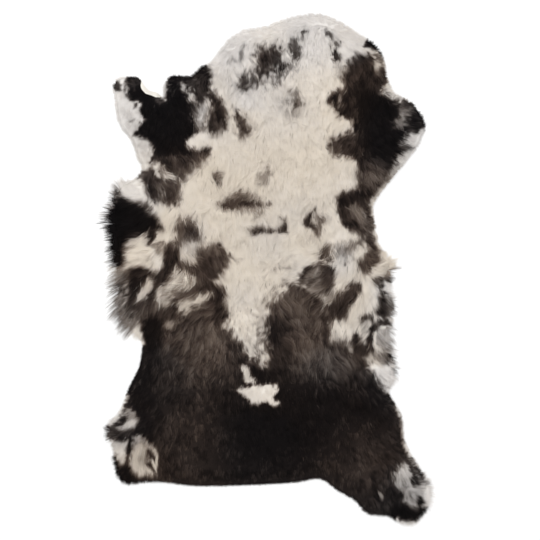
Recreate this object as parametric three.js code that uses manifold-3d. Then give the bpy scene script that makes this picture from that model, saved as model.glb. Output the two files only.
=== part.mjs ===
// A sheepskin rug: one whole tanned pelt, laid flat with its wool up and its neck towards +Y.
// Millimetres, +Z up. The flesh side is flat on z = 0, and the origin is the middle of the footprint.
import * as THREE from "three";
import { mergeVertices } from "three/addons/utils/BufferGeometryUtils.js";
import Module from "manifold-3d";

// Driving dimensions
const RIM_HEIGHT = 7; // skin and flattened wool where the pelt ends
const RIM_ROUNDING = 46; // distance from the rim over which the wool rises to its full height
const TUFT_RISE = 3; // how far the tufted surface rises and falls
const TUFT_SIZE = 62; // distance across one large tuft
const GRID_PITCH = 18; // spacing of the points that carry the wool's surface
const RIM_STEP = 14; // spacing of the points round the rim
const LOCK_PITCH = 16; // spacing of the locks round the rim
const LOCK_WIDTH = 17; // a lock's width at its root
const LOCK_HEIGHT = 9; // a lock's height at its root
const LOCK_ROOT = 12; // how far a lock is rooted inside the pelt
const LOCK_SHORTEST = 0.72; // a lock's length as a share of the reach there
const LOCK_LONGEST = 1.08;
const LOCK_STRAY = 0.25; // how far a lock may lean from its neighbours' direction
const LONG_LOCK = 17; // from this reach on a lock widens, bends and ends in a fine tip
const LOCK_WIDENING = 90; // reach past LONG_LOCK that would double a lock's width
const BEND_AT = 0.3; // where a long lock bends, as a share of its length
const BEND_SIZE = 0.75; // its size there, as a share of its root
const FINE_TIP = 0.22; // tips as a share of the root
const BLUNT_TIP = 0.5;
const SHORTEST_LOCK = 5; // below this the wool ends flush with the skin

const table = (columns, rows) =>
  rows.map((row) => Object.fromEntries(columns.map((column, i) => [column, row[i]])));

// The rim, clockwise from the middle of the neck. x and y are on the skin's edge, reach is how far
// the locks stand past it, and tailward is how much they lean towards the tail (below 0: to the neck).
const RIM_COLUMNS = ["x", "y", "reach", "tailward"];

const NECK = table(RIM_COLUMNS, [
  [44, 492, 12, 0],
  [106, 502, 12, 0],
  [151, 485, 11, 0],
  [181, 465, 11, 0],
  [209, 446, 12, 0],
]);

const RIGHT_FORELEG = table(RIM_COLUMNS, [
  [229, 420, 10, 0],
  [236, 380, 11, 0],
  [254, 347, 11, 0],
  [288, 327, 12, 0],
  [304, 302, 15, 0],
  [310, 284, 12, 0],
  [296, 248, 10, 0],
  [266, 208, 8, 0],
  [226, 160, 10, 0],
]);

const RIGHT_FLANK = table(RIM_COLUMNS, [
  [207, 130, 11, 0.2],
  [210, 100, 12, 0.2],
  [214, 62, 13, 0.2],
  [224, 28, 20, 0],
  [242, 10, 29, 0],
  [234, -22, 20, 0.3],
  [242, -56, 26, 0.4],
  [238, -100, 27, 0.5],
  [234, -146, 35, 0.5],
  [240, -184, 30, 0.6],
  [246, -214, 16, 0.5],
]);

const RIGHT_HIND_LEG = table(RIM_COLUMNS, [
  [241, -240, 6, 0.3],
  [268, -293, 7, 0.3],
  [273, -342, 8, 0.3],
  [296, -400, 17, 0],
  [316, -432, 21, 0],
  [312, -466, 19, 0],
  [289, -497, 16, 0],
  [250, -485, 8, 0],
  [206, -480, 8, 0],
  [186, -457, 8, 0],
]);

const RUMP = table(RIM_COLUMNS, [
  [150, -437, 7, 0],
  [112, -413, 6, 0],
  [54, -420, 6, 0],
  [-42, -425, 6, 0],
  [-148, -426, 6, 0],
]);

const LEFT_HIND_LEG = table(RIM_COLUMNS, [
  [-194, -419, 7, 0],
  [-236, -413, 12, 0],
  [-280, -415, 13, 0],
  [-290, -382, 14, 0],
  [-292, -352, 14, 0],
  [-304, -322, 22, 0],
  [-294, -302, 11, 0],
  [-279, -277, 9, 0],
  [-267, -237, 7, 0.3],
  [-248, -196, 6, 0.3],
  [-240, -146, 7, 0.3],
]);

const LEFT_FLANK = table(RIM_COLUMNS, [
  [-246, -124, 20, 0.3],
  [-256, -104, 41, 0.5],
  [-272, -70, 50, 0.8],
  [-279, -30, 42, 0.6],
  [-284, 10, 34, 0.4],
  [-290, 64, 30, 0.1],
  [-294, 96, 44, 0],
  [-292, 130, 27, -0.2],
  [-286, 158, 26, -0.5],
  [-268, 169, 10, -0.3],
  [-250, 182, 9, 0],
  [-237, 202, 9, 0],
]);

const LEFT_FORELEG = table(RIM_COLUMNS, [
  [-247, 225, 10, 0.2],
  [-261, 262, 9, 0.2],
  [-284, 293, 9, 0.2],
  [-292, 340, 10, 0],
  [-294, 374, 10, 0],
  [-274, 381, 7, 0],
  [-251, 382, 5, 0],
]);

// The cut behind the left ear, where the bare edge of the skin curls up
const NOTCH = table(RIM_COLUMNS, [
  [-242, 369, 0, 0],
  [-231, 358, 0, 0],
  [-216, 354, 0, 0],
  [-203, 345, 0, 0],
  [-198, 366, 0, 0],
]);

const LEFT_SHOULDER = table(RIM_COLUMNS, [
  [-186, 383, 7, 0],
  [-146, 382, 8, 0],
  [-126, 397, 11, 0],
  [-103, 409, 11, 0],
  [-67, 452, 12, 0],
  [-37, 471, 12, 0],
  [2, 477, 11, 0],
]);

const RIM = [
  NECK,
  RIGHT_FORELEG,
  RIGHT_FLANK,
  RIGHT_HIND_LEG,
  RUMP,
  LEFT_HIND_LEG,
  LEFT_FLANK,
  LEFT_FORELEG,
  NOTCH,
  LEFT_SHOULDER,
].flat();

// The wool's height down the length of the pelt, away from the rim
const WOOL = table(["y", "height"], [
  [520, 24],
  [400, 28],
  [200, 33],
  [0, 34],
  [-120, 29],
  [-230, 23],
  [-330, 21],
  [-520, 17],
]);

// The main folds, each along a straight line: rise is below 0 for a furrow and above 0 for a ridge
const FOLDS = table(["fromX", "fromY", "toX", "toY", "width", "rise"], [
  [-70, -226, 262, -236, 30, -7], // the valley across the rump
  [-200, -190, 60, -176, 60, 4], // the swell in front of it
  [226, -392, 242, -462, 16, -7], // the crease down the right hind leg
  [-14, 4, 48, 14, 14, -7], // partings on the back
  [-90, 132, 8, 122, 18, -5],
  [-30, 82, 46, 84, 16, -6],
  [74, 116, 96, 88, 18, -6],
  [70, -2, 120, -30, 22, -6], // the curled wool beside the white stem
  [112, -20, 196, -92, 26, 4], // the white lock across the right flank
  [-212, -60, -140, -16, 26, 4], // the white locks on the left flank
  [-178, 30, -206, -10, 20, -5],
  [-244, 366, -230, 352, 18, 7], // the curled edge at the notch
  [-230, 352, -202, 348, 18, 7],
  [-196, 130, -160, 190, 18, -4], // the gap between foreleg and flank
]);

const mix = (a, b, t) => a + (b - a) * t;

const smooth = (t) => {
  const s = Math.min(Math.max(t, 0), 1);
  return s * s * (3 - 2 * s);
};

// A steady, repeatable stand-in for chance: 0 to 1 for each whole number
const chance = (n) => {
  const s = Math.sin(n * 127.1 + 311.7) * 43758.5453;
  return s - Math.floor(s);
};

// The skin's edge as one smooth closed curve through every row
const rimCurve = new THREE.CatmullRomCurve3(
  RIM.map((row) => new THREE.Vector3(row.x, row.y, 0)),
  true,
  "centripetal",
);

// A place on the rim, with the direction straight out of the pelt there
function rimAt(t) {
  const place = rimCurve.getPoint(t);
  const ahead = rimCurve.getTangent(t);
  const row = t * RIM.length;
  const before = RIM[Math.floor(row) % RIM.length];
  const after = RIM[(Math.floor(row) + 1) % RIM.length];
  const part = row - Math.floor(row);
  return {
    x: place.x,
    y: place.y,
    outX: -ahead.y,
    outY: ahead.x,
    reach: mix(before.reach, after.reach, part),
    tailward: mix(before.tailward, after.tailward, part),
  };
}

// Places along the rim, evenly spaced by the distance round it
function walkRim(spacing) {
  const fine = RIM.length * 12;
  const marks = Array.from({ length: fine + 1 }, (_, i) => rimAt((i / fine) % 1));
  const travelled = [0];
  for (let i = 1; i <= fine; i += 1) {
    const step = Math.hypot(marks[i].x - marks[i - 1].x, marks[i].y - marks[i - 1].y);
    travelled.push(travelled[i - 1] + step);
  }
  const count = Math.round(travelled[fine] / spacing);
  const places = [];
  let i = 0;
  for (let k = 0; k < count; k += 1) {
    const goal = (k / count) * travelled[fine];
    while (travelled[i + 1] < goal) i += 1;
    const part = (goal - travelled[i]) / (travelled[i + 1] - travelled[i]);
    places.push(rimAt(((i + part) / fine) % 1));
  }
  return places;
}

const rim = walkRim(RIM_STEP);

function distanceToLine(x, y, ax, ay, bx, by) {
  const along = (x - ax) * (bx - ax) + (y - ay) * (by - ay);
  const t = Math.min(Math.max(along / ((bx - ax) ** 2 + (by - ay) ** 2), 0), 1);
  return Math.hypot(x - mix(ax, bx, t), y - mix(ay, by, t));
}

// Distance from the rim, above 0 inside the pelt
function depthInside(x, y) {
  let nearest = Infinity;
  let inside = false;
  rim.forEach((a, i) => {
    const b = rim[(i + 1) % rim.length];
    nearest = Math.min(nearest, distanceToLine(x, y, a.x, a.y, b.x, b.y));
    if (a.y > y !== b.y > y && x < mix(a.x, b.x, (y - a.y) / (b.y - a.y))) inside = !inside;
  });
  return inside ? nearest : -nearest;
}

function woolHeight(y) {
  const next = WOOL.findIndex((row) => row.y <= y);
  const low = WOOL[next < 0 ? WOOL.length - 1 : Math.max(next, 1)];
  const high = WOOL[WOOL.indexOf(low) - 1];
  return mix(low.height, high.height, smooth((y - low.y) / (high.y - low.y)));
}

// Rolling hills of the given size, from -1 to 1, that never repeat
function hills(x, y, size) {
  const column = Math.floor(x / size);
  const row = Math.floor(y / size);
  const across = smooth(x / size - column);
  const up = smooth(y / size - row);
  const corner = (i, j) => 2 * chance((column + i) * 57 + (row + j) * 131) - 1;
  const near = mix(corner(0, 0), corner(1, 0), across);
  const far = mix(corner(0, 1), corner(1, 1), across);
  return mix(near, far, up);
}

function tufts(x, y) {
  return TUFT_RISE * (hills(x, y, TUFT_SIZE) + 0.5 * hills(x, y, TUFT_SIZE / 2));
}

function folds(x, y) {
  return FOLDS.reduce((sum, fold) => {
    const away = distanceToLine(x, y, fold.fromX, fold.fromY, fold.toX, fold.toY);
    return sum + fold.rise * (1 - smooth(away / fold.width));
  }, 0);
}

function surfaceHeight(x, y) {
  const rise = smooth(Math.sqrt(Math.max(depthInside(x, y), 0) / RIM_ROUNDING));
  const full = woolHeight(y) + tufts(x, y) + folds(x, y);
  return mix(RIM_HEIGHT, full, rise);
}

const wasm = await Module();
wasm.setup();

function solidFrom(geometry) {
  const bare = geometry.clone();
  bare.deleteAttribute("normal");
  bare.deleteAttribute("uv");
  const merged = mergeVertices(bare, 1e-4);
  const mesh = new wasm.Mesh({
    numProp: 3,
    vertProperties: new Float32Array(merged.attributes.position.array),
    triVerts: new Uint32Array(merged.index.array),
  });
  return new wasm.Manifold(mesh);
}

function geometryFrom(solid) {
  const mesh = solid.getMesh();
  const geometry = new THREE.BufferGeometry();
  geometry.setAttribute("position", new THREE.BufferAttribute(mesh.vertProperties, 3));
  geometry.setIndex(new THREE.BufferAttribute(mesh.triVerts, 1));
  geometry.computeVertexNormals();
  return geometry;
}

// A block whose top is the wool's surface, larger than the pelt all round
function woolBlock() {
  const wellBelowSkin = -20;
  const edge = 2 * GRID_PITCH;
  const xs = rim.map((place) => place.x);
  const ys = rim.map((place) => place.y);
  const left = Math.min(...xs) - edge;
  const bottom = Math.min(...ys) - edge;
  const across = Math.ceil((Math.max(...xs) + edge - left) / GRID_PITCH);
  const up = Math.ceil((Math.max(...ys) + edge - bottom) / GRID_PITCH);
  const block = new THREE.BoxGeometry(1, 1, 1, across, up, 1);
  const position = block.attributes.position;
  for (let i = 0; i < position.count; i += 1) {
    const x = left + (position.getX(i) + 0.5) * across * GRID_PITCH;
    const y = bottom + (position.getY(i) + 0.5) * up * GRID_PITCH;
    position.setXYZ(i, x, y, position.getZ(i) > 0 ? surfaceHeight(x, y) : wellBelowSkin);
  }
  return solidFrom(block);
}

// Straight up from the skin's edge
function rimPrism() {
  const outline = new THREE.Shape(rim.map((place) => new THREE.Vector2(place.x, place.y)));
  const wellAboveWool = 90;
  return solidFrom(new THREE.ExtrudeGeometry(outline, { depth: wellAboveWool, bevelEnabled: false }));
}

// One lock: a three-sided tapering wisp that lies on the floor along its whole length
function lock(place, index) {
  const lean = place.tailward + mix(-LOCK_STRAY, LOCK_STRAY, chance(index));
  const length = place.reach * mix(LOCK_SHORTEST, LOCK_LONGEST, chance(index + 0.37));
  const out = new THREE.Vector2(place.outX, place.outY);
  const tip = out.clone().add(new THREE.Vector2(0, -lean)).normalize();
  const root = new THREE.Vector2(place.x, place.y).addScaledVector(out, -LOCK_ROOT);
  const bend = new THREE.Vector2(place.x, place.y).addScaledVector(out, BEND_AT * length);
  const end = bend.clone().addScaledVector(tip, (1 - BEND_AT) * length);
  const width = LOCK_WIDTH * (1 + Math.max(place.reach - LONG_LOCK, 0) / LOCK_WIDENING);
  const sections = [{ at: root, ahead: out, size: 1 }];
  if (place.reach >= LONG_LOCK) {
    sections.push({ at: bend, ahead: out.clone().add(tip).normalize(), size: BEND_SIZE });
    sections.push({ at: end, ahead: tip, size: FINE_TIP });
  } else {
    sections.push({ at: end, ahead: tip, size: BLUNT_TIP });
  }
  const points = sections.flatMap(({ at, ahead, size }) => {
    const halfWidth = (size * width) / 2;
    return [
      [at.x + ahead.y * halfWidth, at.y - ahead.x * halfWidth, 0],
      [at.x - ahead.y * halfWidth, at.y + ahead.x * halfWidth, 0],
      [at.x, at.y, size * LOCK_HEIGHT],
    ];
  });
  const last = points.length - 3;
  const faces = [[2, 1, 0], [last, last + 1, last + 2]];
  for (let s = 0; s < sections.length - 1; s += 1) {
    for (let k = 0; k < 3; k += 1) {
      const a = 3 * s + k;
      const b = 3 * s + ((k + 1) % 3);
      faces.push([a, b, b + 3], [a, b + 3, a + 3]);
    }
  }
  const geometry = new THREE.BufferGeometry();
  geometry.setAttribute("position", new THREE.Float32BufferAttribute(points.flat(), 3));
  geometry.setIndex(faces.flat());
  return solidFrom(geometry);
}

function pelt() {
  const slab = woolBlock().intersect(rimPrism());
  const locks = walkRim(LOCK_PITCH)
    .filter((place) => place.reach >= SHORTEST_LOCK)
    .map(lock);
  return wasm.Manifold.union([slab, ...locks]);
}

const wool = new THREE.MeshStandardMaterial({ color: 0xd8d0c5, roughness: 0.95, metalness: 0 });
const sheepskin = new THREE.Mesh(geometryFrom(pelt()), wool);
sheepskin.name = "sheepskin";

const rug = new THREE.Group();
rug.add(sheepskin);

export default rug;
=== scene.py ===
# A piebald sheepskin rug, laid flat with its wool up and seen from straight above.
# Metres, +Z up, +Y towards the neck. The flesh side lies on z = 0.
import math

import bpy
import numpy as np
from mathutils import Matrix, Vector
from mathutils.bvhtree import BVHTree
from mathutils.geometry import delaunay_2d_cdt


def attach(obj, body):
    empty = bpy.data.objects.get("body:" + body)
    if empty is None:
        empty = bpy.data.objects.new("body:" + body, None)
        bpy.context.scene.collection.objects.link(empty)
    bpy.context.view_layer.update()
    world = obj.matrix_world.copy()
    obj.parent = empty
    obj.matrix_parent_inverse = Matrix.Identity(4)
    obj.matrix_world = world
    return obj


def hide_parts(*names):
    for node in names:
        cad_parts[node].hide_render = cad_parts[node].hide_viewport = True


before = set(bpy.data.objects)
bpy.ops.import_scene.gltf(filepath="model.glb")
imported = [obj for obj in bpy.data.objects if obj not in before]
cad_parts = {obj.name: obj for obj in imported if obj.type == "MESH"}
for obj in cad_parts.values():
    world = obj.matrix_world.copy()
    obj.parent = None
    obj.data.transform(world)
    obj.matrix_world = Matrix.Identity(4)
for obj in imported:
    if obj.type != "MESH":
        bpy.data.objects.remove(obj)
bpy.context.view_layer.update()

# Driving sizes, in metres
MM = 0.001
PIXEL = 2 * MM  # what one pixel of the photograph covers on the rug
ORIGIN_PIXEL = (265, 270)  # the pixel over the rug's origin
PHOTO_PIXELS = 540
MAP_PITCH = 2 * MM  # spacing of the maps that hold depth, height and lie
MAP_HALF = (0.37, 0.55)  # half the width and length that the maps cover

# The skin
HIDE_THICKNESS = 2 * MM
HIDE_PITCH = 10 * MM  # spacing of its mesh
WAVER_SIZE = 20 * MM  # its thickness wavers over this distance
WAVER_HEIGHT = 0.3 * MM
CURL_HEIGHT = 9 * MM  # its bare edge at the notch curls up
CURL_WIDTH = 9 * MM

# The dense wool
UNDERCOAT_PITCH = 3.9 * MM  # spacing of its mesh
UNDERCOAT_SHARE = 0.72  # its height as a share of the whole
WOOL_STARTS = 1 * MM  # how far inside the skin's edge it starts where nothing overhangs
WOOL_OVERHANG = 7 * MM  # the most that it stands past the skin's edge
OVERHANG_SHARE = 0.55  # how much of the wool's reach it takes, up to that
RIM_HEIGHT = 1.5 * MM  # its height at its own edge
FULL_HEIGHT_AT = 30 * MM  # how far in it has its full height
TUFT_SIZE = 24 * MM
TUFT_HEIGHT = 2.2 * MM
DIMPLE_SIZE = 9 * MM
DIMPLE_HEIGHT = 0.8 * MM

# The strands
STRAND_SPACING = 1.46 * MM
STRAND_WIDTH = 0.85 * MM
STRAND_STEPS = 2
LOCK_SPACING = 8 * MM
FRINGE_SPACING = 0.32 * MM  # of the extra strands round the rim
FRINGE_DEPTH = 13 * MM  # how far inside the skin's edge they are rooted
FRINGE_STEPS = 4
FRINGE_LOCK_SPACING = 5.5 * MM
FRINGE_LOCK_DEPTH = 30 * MM  # how far inside the skin's edge their locks start
TAPER = (0.8, 1.0, 0.9, 0.7)  # a strand's width at its points, up to its pointed tip
TIPS_LEVEL = 0.15  # 0: the strands of a lock keep their own lengths, 1: their tips are drawn level
RIM_TURN = 20 * MM  # the wool turns outwards this near to the skin's edge
LIE_BLEND = 14 * MM  # wool this near to a row of LIE mostly follows it
SOFT_NORMAL = 0.88  # how far the strands are shaded as the fleece under them is
STEEP_CALM = 10  # how much less than their slope the steep parts by the rim are shaded

# The colours
TONE_FOLLOWS = 0.6  # 0: a strand has one tone, 1: its tone is that of each place it passes
FRINGE_TONE_FOLLOWS = 0.95
PALER_TIPS = 0.25  # how far the tips of the strands round the rim are towards cream
MINGLE = 0.6  # 0: each strand is of one marking or the other, 1: most are between the two
EDGE_SOFTNESS = 1.6
BROAD_WARP = 2.4  # how far the markings' outlines wander, in millimetres
FINE_WARP = 1.6
STRAYS = 0.02  # the share of strands just outside a marking that take its colour
STRAY_REACH = 1.3  # how far they spread, as a multiple of the edge's width
WARMTH_BLEND = 16 * MM  # wool this near to a row of WARMTH mostly follows it

CAMERA_HEIGHT = 6
FLOOR_HALF = 4
SEED = 7


def table(columns, rows):
    """Rows as dictionaries, one for each row, keyed by the columns' names."""
    names = columns.split()
    return [dict(zip(names, row)) for row in rows]


# The skin's edge, clockwise from the middle of the neck, in millimetres. reach is how far the wool
# stands past it (below 0: how far it stops short), tailward is how much it leans to the tail.
RIM = table("x y reach tailward", [
    (44, 492, 12, 0), (106, 502, 12, 0), (151, 485, 11, 0), (181, 465, 11, 0), (209, 446, 12, 0),
    # right foreleg
    (229, 420, 10, 0), (236, 380, 11, 0), (254, 347, 11, 0), (288, 327, 12, 0), (304, 302, 15, 0),
    (310, 284, 12, 0), (296, 248, 10, 0), (266, 208, 8, 0), (226, 160, 10, 0),
    # right flank
    (207, 130, 11, 0.2), (210, 100, 12, 0.2), (214, 62, 13, 0.2), (224, 28, 20, 0), (242, 10, 29, 0),
    (234, -22, 20, 0.3), (242, -56, 26, 0.4), (238, -100, 27, 0.5), (234, -146, 35, 0.5),
    (240, -184, 30, 0.6), (246, -214, 16, 0.5),
    # right hind leg
    (241, -240, 6, 0.3), (268, -293, 7, 0.3), (273, -342, 8, 0.3), (296, -400, 17, 0),
    (316, -432, 21, 0), (312, -466, 19, 0), (289, -497, 16, 0), (250, -485, 8, 0),
    (206, -480, 8, 0), (186, -457, 8, 0),
    # rump
    (150, -437, 7, 0), (112, -413, 6, 0), (54, -420, 6, 0), (-42, -425, 6, 0), (-148, -426, 6, 0),
    # left hind leg
    (-194, -419, 7, 0), (-236, -413, 12, 0), (-280, -415, 13, 0), (-290, -382, 14, 0),
    (-292, -352, 14, 0), (-304, -322, 22, 0), (-294, -302, 11, 0), (-279, -277, 9, 0),
    (-267, -237, 7, 0.3), (-248, -196, 6, 0.3), (-240, -146, 7, 0.3),
    # left flank
    (-246, -124, 20, 0.3), (-256, -104, 41, 0.5), (-272, -70, 50, 0.8), (-279, -30, 42, 0.6),
    (-284, 10, 34, 0.4), (-290, 64, 30, 0.1), (-294, 96, 44, 0), (-292, 130, 27, -0.2),
    (-286, 158, 26, -0.5), (-268, 169, 10, -0.3), (-250, 182, 9, 0), (-237, 202, 9, 0),
    # left foreleg
    (-247, 225, 10, 0.2), (-261, 262, 9, 0.2), (-284, 293, 9, 0.2), (-292, 340, 10, 0),
    (-294, 374, 10, 0), (-274, 381, 7, 0), (-251, 382, 1, 0),
    # notch
    (-242, 369, -7, 0), (-231, 358, -7, 0), (-216, 354, -4, 0), (-203, 345, 4, 0),
    (-198, 366, 7, 0),
    # left shoulder
    (-186, 383, 7, 0), (-146, 382, 8, 0), (-126, 397, 11, 0), (-103, 409, 11, 0),
    (-67, 452, 12, 0), (-37, 471, 12, 0), (2, 477, 11, 0),
])

# How the wool lies, at places in the photograph's pixels. heading is in degrees, 0 to the right and
# 90 to the neck. length is in millimetres, lift and curl in degrees, and lock is 0 to 1: how far
# the strands of a lock draw together.
LIE = table("x y heading length lift curl lock", [
    # neck
    (240, 48, -95, 18, 24, 14, 0.26), (268, 60, -95, 20, 28, 16, 0.28), (310, 50, -90, 20, 26, 14, 0.26),
    (350, 45, -75, 20, 24, 14, 0.26), (240, 95, -92, 22, 32, 24, 0.33), (295, 110, -90, 24, 35, 30, 0.36),
    # left shoulder
    (180, 90, -70, 16, 16, 10, 0.32), (165, 120, -95, 16, 14, 10, 0.28), (150, 140, -130, 16, 14, 10, 0.32),
    (195, 125, -85, 18, 18, 20, 0.4), (215, 115, -88, 22, 28, 18, 0.36), (185, 155, -80, 20, 18, 20, 0.4),
    # left foreleg
    (125, 95, -95, 10, 10, 5, 0.16), (130, 130, -110, 10, 10, 5, 0.16), (145, 155, -100, 10, 10, 5, 0.16),
    (160, 180, -60, 22, 20, 24, 0.42), (172, 195, -90, 22, 20, 24, 0.42),
    # back
    (210, 170, -100, 26, 36, 40, 0.36), (265, 160, -90, 26, 38, 40, 0.36), (320, 160, -80, 26, 36, 40, 0.36),
    (230, 210, -95, 27, 37, 38, 0.36), (290, 210, -88, 27, 37, 38, 0.36), (260, 245, -90, 27, 36, 36, 0.38),
    (225, 245, -70, 26, 30, 28, 0.36), (245, 290, -90, 23, 24, 18, 0.3), (250, 330, -95, 21, 20, 14, 0.26),
    (265, 355, -75, 20, 18, 14, 0.34),
    # right shoulder
    (360, 80, -85, 20, 18, 15, 0.36), (350, 110, -115, 20, 20, 15, 0.4), (345, 148, -125, 22, 22, 15, 0.48),
    (385, 120, -60, 18, 16, 10, 0.36), (410, 125, -5, 20, 14, 10, 0.48), (395, 150, -25, 22, 14, 10, 0.48),
    (385, 165, -55, 24, 16, 10, 0.48), (365, 180, -80, 24, 18, 15, 0.48),
    # right flank
    (355, 210, -80, 24, 22, 20, 0.48), (368, 232, -70, 22, 18, 15, 0.48), (385, 265, 20, 34, 14, 15, 0.56),
    (345, 250, -95, 24, 25, 24, 0.42), (315, 272, 170, 24, 25, 36, 0.48), (340, 292, -120, 30, 24, 20, 0.56),
    (365, 295, -95, 30, 22, 20, 0.56), (360, 325, -120, 28, 22, 20, 0.56), (388, 300, -15, 34, 10, 10, 0.56),
    (388, 330, -35, 38, 10, 10, 0.56), (390, 365, -55, 40, 8, 10, 0.56),
    # left flank
    (130, 215, 178, 30, 14, 10, 0.44), (115, 190, 125, 28, 12, 10, 0.56), (105, 225, 190, 32, 10, 10, 0.56),
    (115, 255, 205, 30, 12, 10, 0.56), (142, 250, 190, 30, 20, 15, 0.56), (120, 290, 215, 38, 12, 10, 0.64),
    (120, 320, 232, 40, 10, 10, 0.64), (138, 278, -130, 28, 20, 24, 0.45), (148, 292, -125, 26, 24, 18, 0.48),
    (170, 215, -120, 28, 28, 18, 0.39), (187, 230, -75, 26, 26, 24, 0.42), (190, 255, -55, 30, 24, 20, 0.56),
    (215, 262, -60, 28, 22, 15, 0.52), (168, 265, -125, 30, 22, 15, 0.56), (170, 290, -140, 32, 22, 20, 0.6),
    (195, 302, -150, 30, 20, 20, 0.56),
    # rump
    (170, 330, -115, 24, 16, 10, 0.4), (210, 340, -100, 24, 16, 10, 0.4), (285, 320, -70, 24, 16, 10, 0.4),
    (310, 350, -85, 24, 16, 10, 0.4), (345, 360, -60, 26, 16, 10, 0.44), (150, 370, -105, 20, 14, 8, 0.32),
    (230, 375, -92, 22, 14, 8, 0.32), (290, 380, -85, 22, 14, 8, 0.32), (370, 375, -60, 22, 12, 8, 0.32),
    (140, 400, -115, 16, 12, 6, 0.24), (200, 420, -95, 15, 12, 6, 0.24), (265, 420, -90, 15, 12, 6, 0.24),
    (330, 420, -82, 15, 12, 6, 0.24), (385, 420, -75, 15, 12, 6, 0.24), (200, 465, -93, 13, 12, 6, 0.24),
    (270, 465, -90, 13, 12, 6, 0.24), (330, 465, -80, 13, 12, 6, 0.24), (375, 480, -70, 15, 12, 6, 0.24),
    # hind feet
    (110, 432, 172, 22, 14, 8, 0.56), (128, 418, 205, 18, 18, 10, 0.4), (140, 455, -88, 28, 24, 10, 0.48),
    (120, 450, -100, 22, 14, 8, 0.34), (125, 472, -100, 18, 14, 8, 0.3), (405, 470, -58, 28, 16, 8, 0.44),
    (425, 488, -15, 24, 10, 8, 0.34), (410, 505, -60, 24, 12, 8, 0.3), (398, 515, -80, 18, 10, 8, 0.3),
])

# How warm the wool's colour is, from a greyish white and a neutral black, 0, to beige and brown, 1
WARMTH = table("x y warmth", [
    (240, 50, 0.05), (310, 40, 0.1), (350, 50, 0.2), (275, 65, 0.1), (290, 100, 0.35), (245, 95, 0.2),
    (170, 90, 0.1), (165, 130, 0.15), (125, 110, 0.1), (215, 115, 0.7), (180, 165, 0.6), (362, 75, 0.9),
    (385, 120, 0.3), (385, 150, 0.2), (350, 145, 0.8), (345, 115, 0.9), (415, 140, 0.1), (375, 185, 0.7),
    (230, 160, 0.75), (270, 165, 0.85), (315, 165, 0.8), (245, 200, 0.9), (300, 200, 0.7), (265, 240, 0.7),
    (110, 220, 0.1), (140, 210, 0.3), (160, 260, 0.5), (190, 240, 0.6), (120, 300, 0.4), (245, 300, 0.75),
    (250, 340, 0.6), (210, 265, 0.9), (360, 240, 0.6), (350, 290, 0.8), (388, 340, 0.3), (190, 340, 0.8),
    (310, 330, 0.8), (260, 430, 0.2), (160, 370, 0.3), (180, 440, 0.7), (370, 450, 0.7), (130, 430, 0.3),
    (145, 455, 0.9), (410, 490, 0.1), (260, 395, 0.6), (340, 400, 0.5),
    (242, 125, 0.8), (296, 102, 0.8), (267, 60, 0.5), (217, 175, 1.0), (240, 197, 1.0), (315, 220, 0.8),
    (177, 232, 1.0), (165, 250, 1.0), (145, 258, 1.0), (210, 250, 1.0), (185, 275, 0.8), (200, 300, 0.9),
    (325, 250, 0.8), (352, 245, 0.6), (342, 254, 0.2), (203, 112, 0.1), (370, 262, 1.0), (388, 272, 1.0),
    (376, 356, 0.7), (217, 116, 0.8), (383, 374, 0.0), (388, 286, 0.0), (415, 138, 0.0), (325, 362, 0.3),
])

# Tones of the wool, from the darkest, 0, to cream, 1
BLACK = 0.03
DARK = 0.12
BROWN = 0.22
# a tan: the tone of tan markings, and of the painted sheen where black wool is lightened as if catching the
# light
TAN_AND_PAINTED_SHEEN = 0.31
GREY_BROWN = 0.45
GREY = 0.62
PALE = 0.86
CREAM = 1.0

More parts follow.
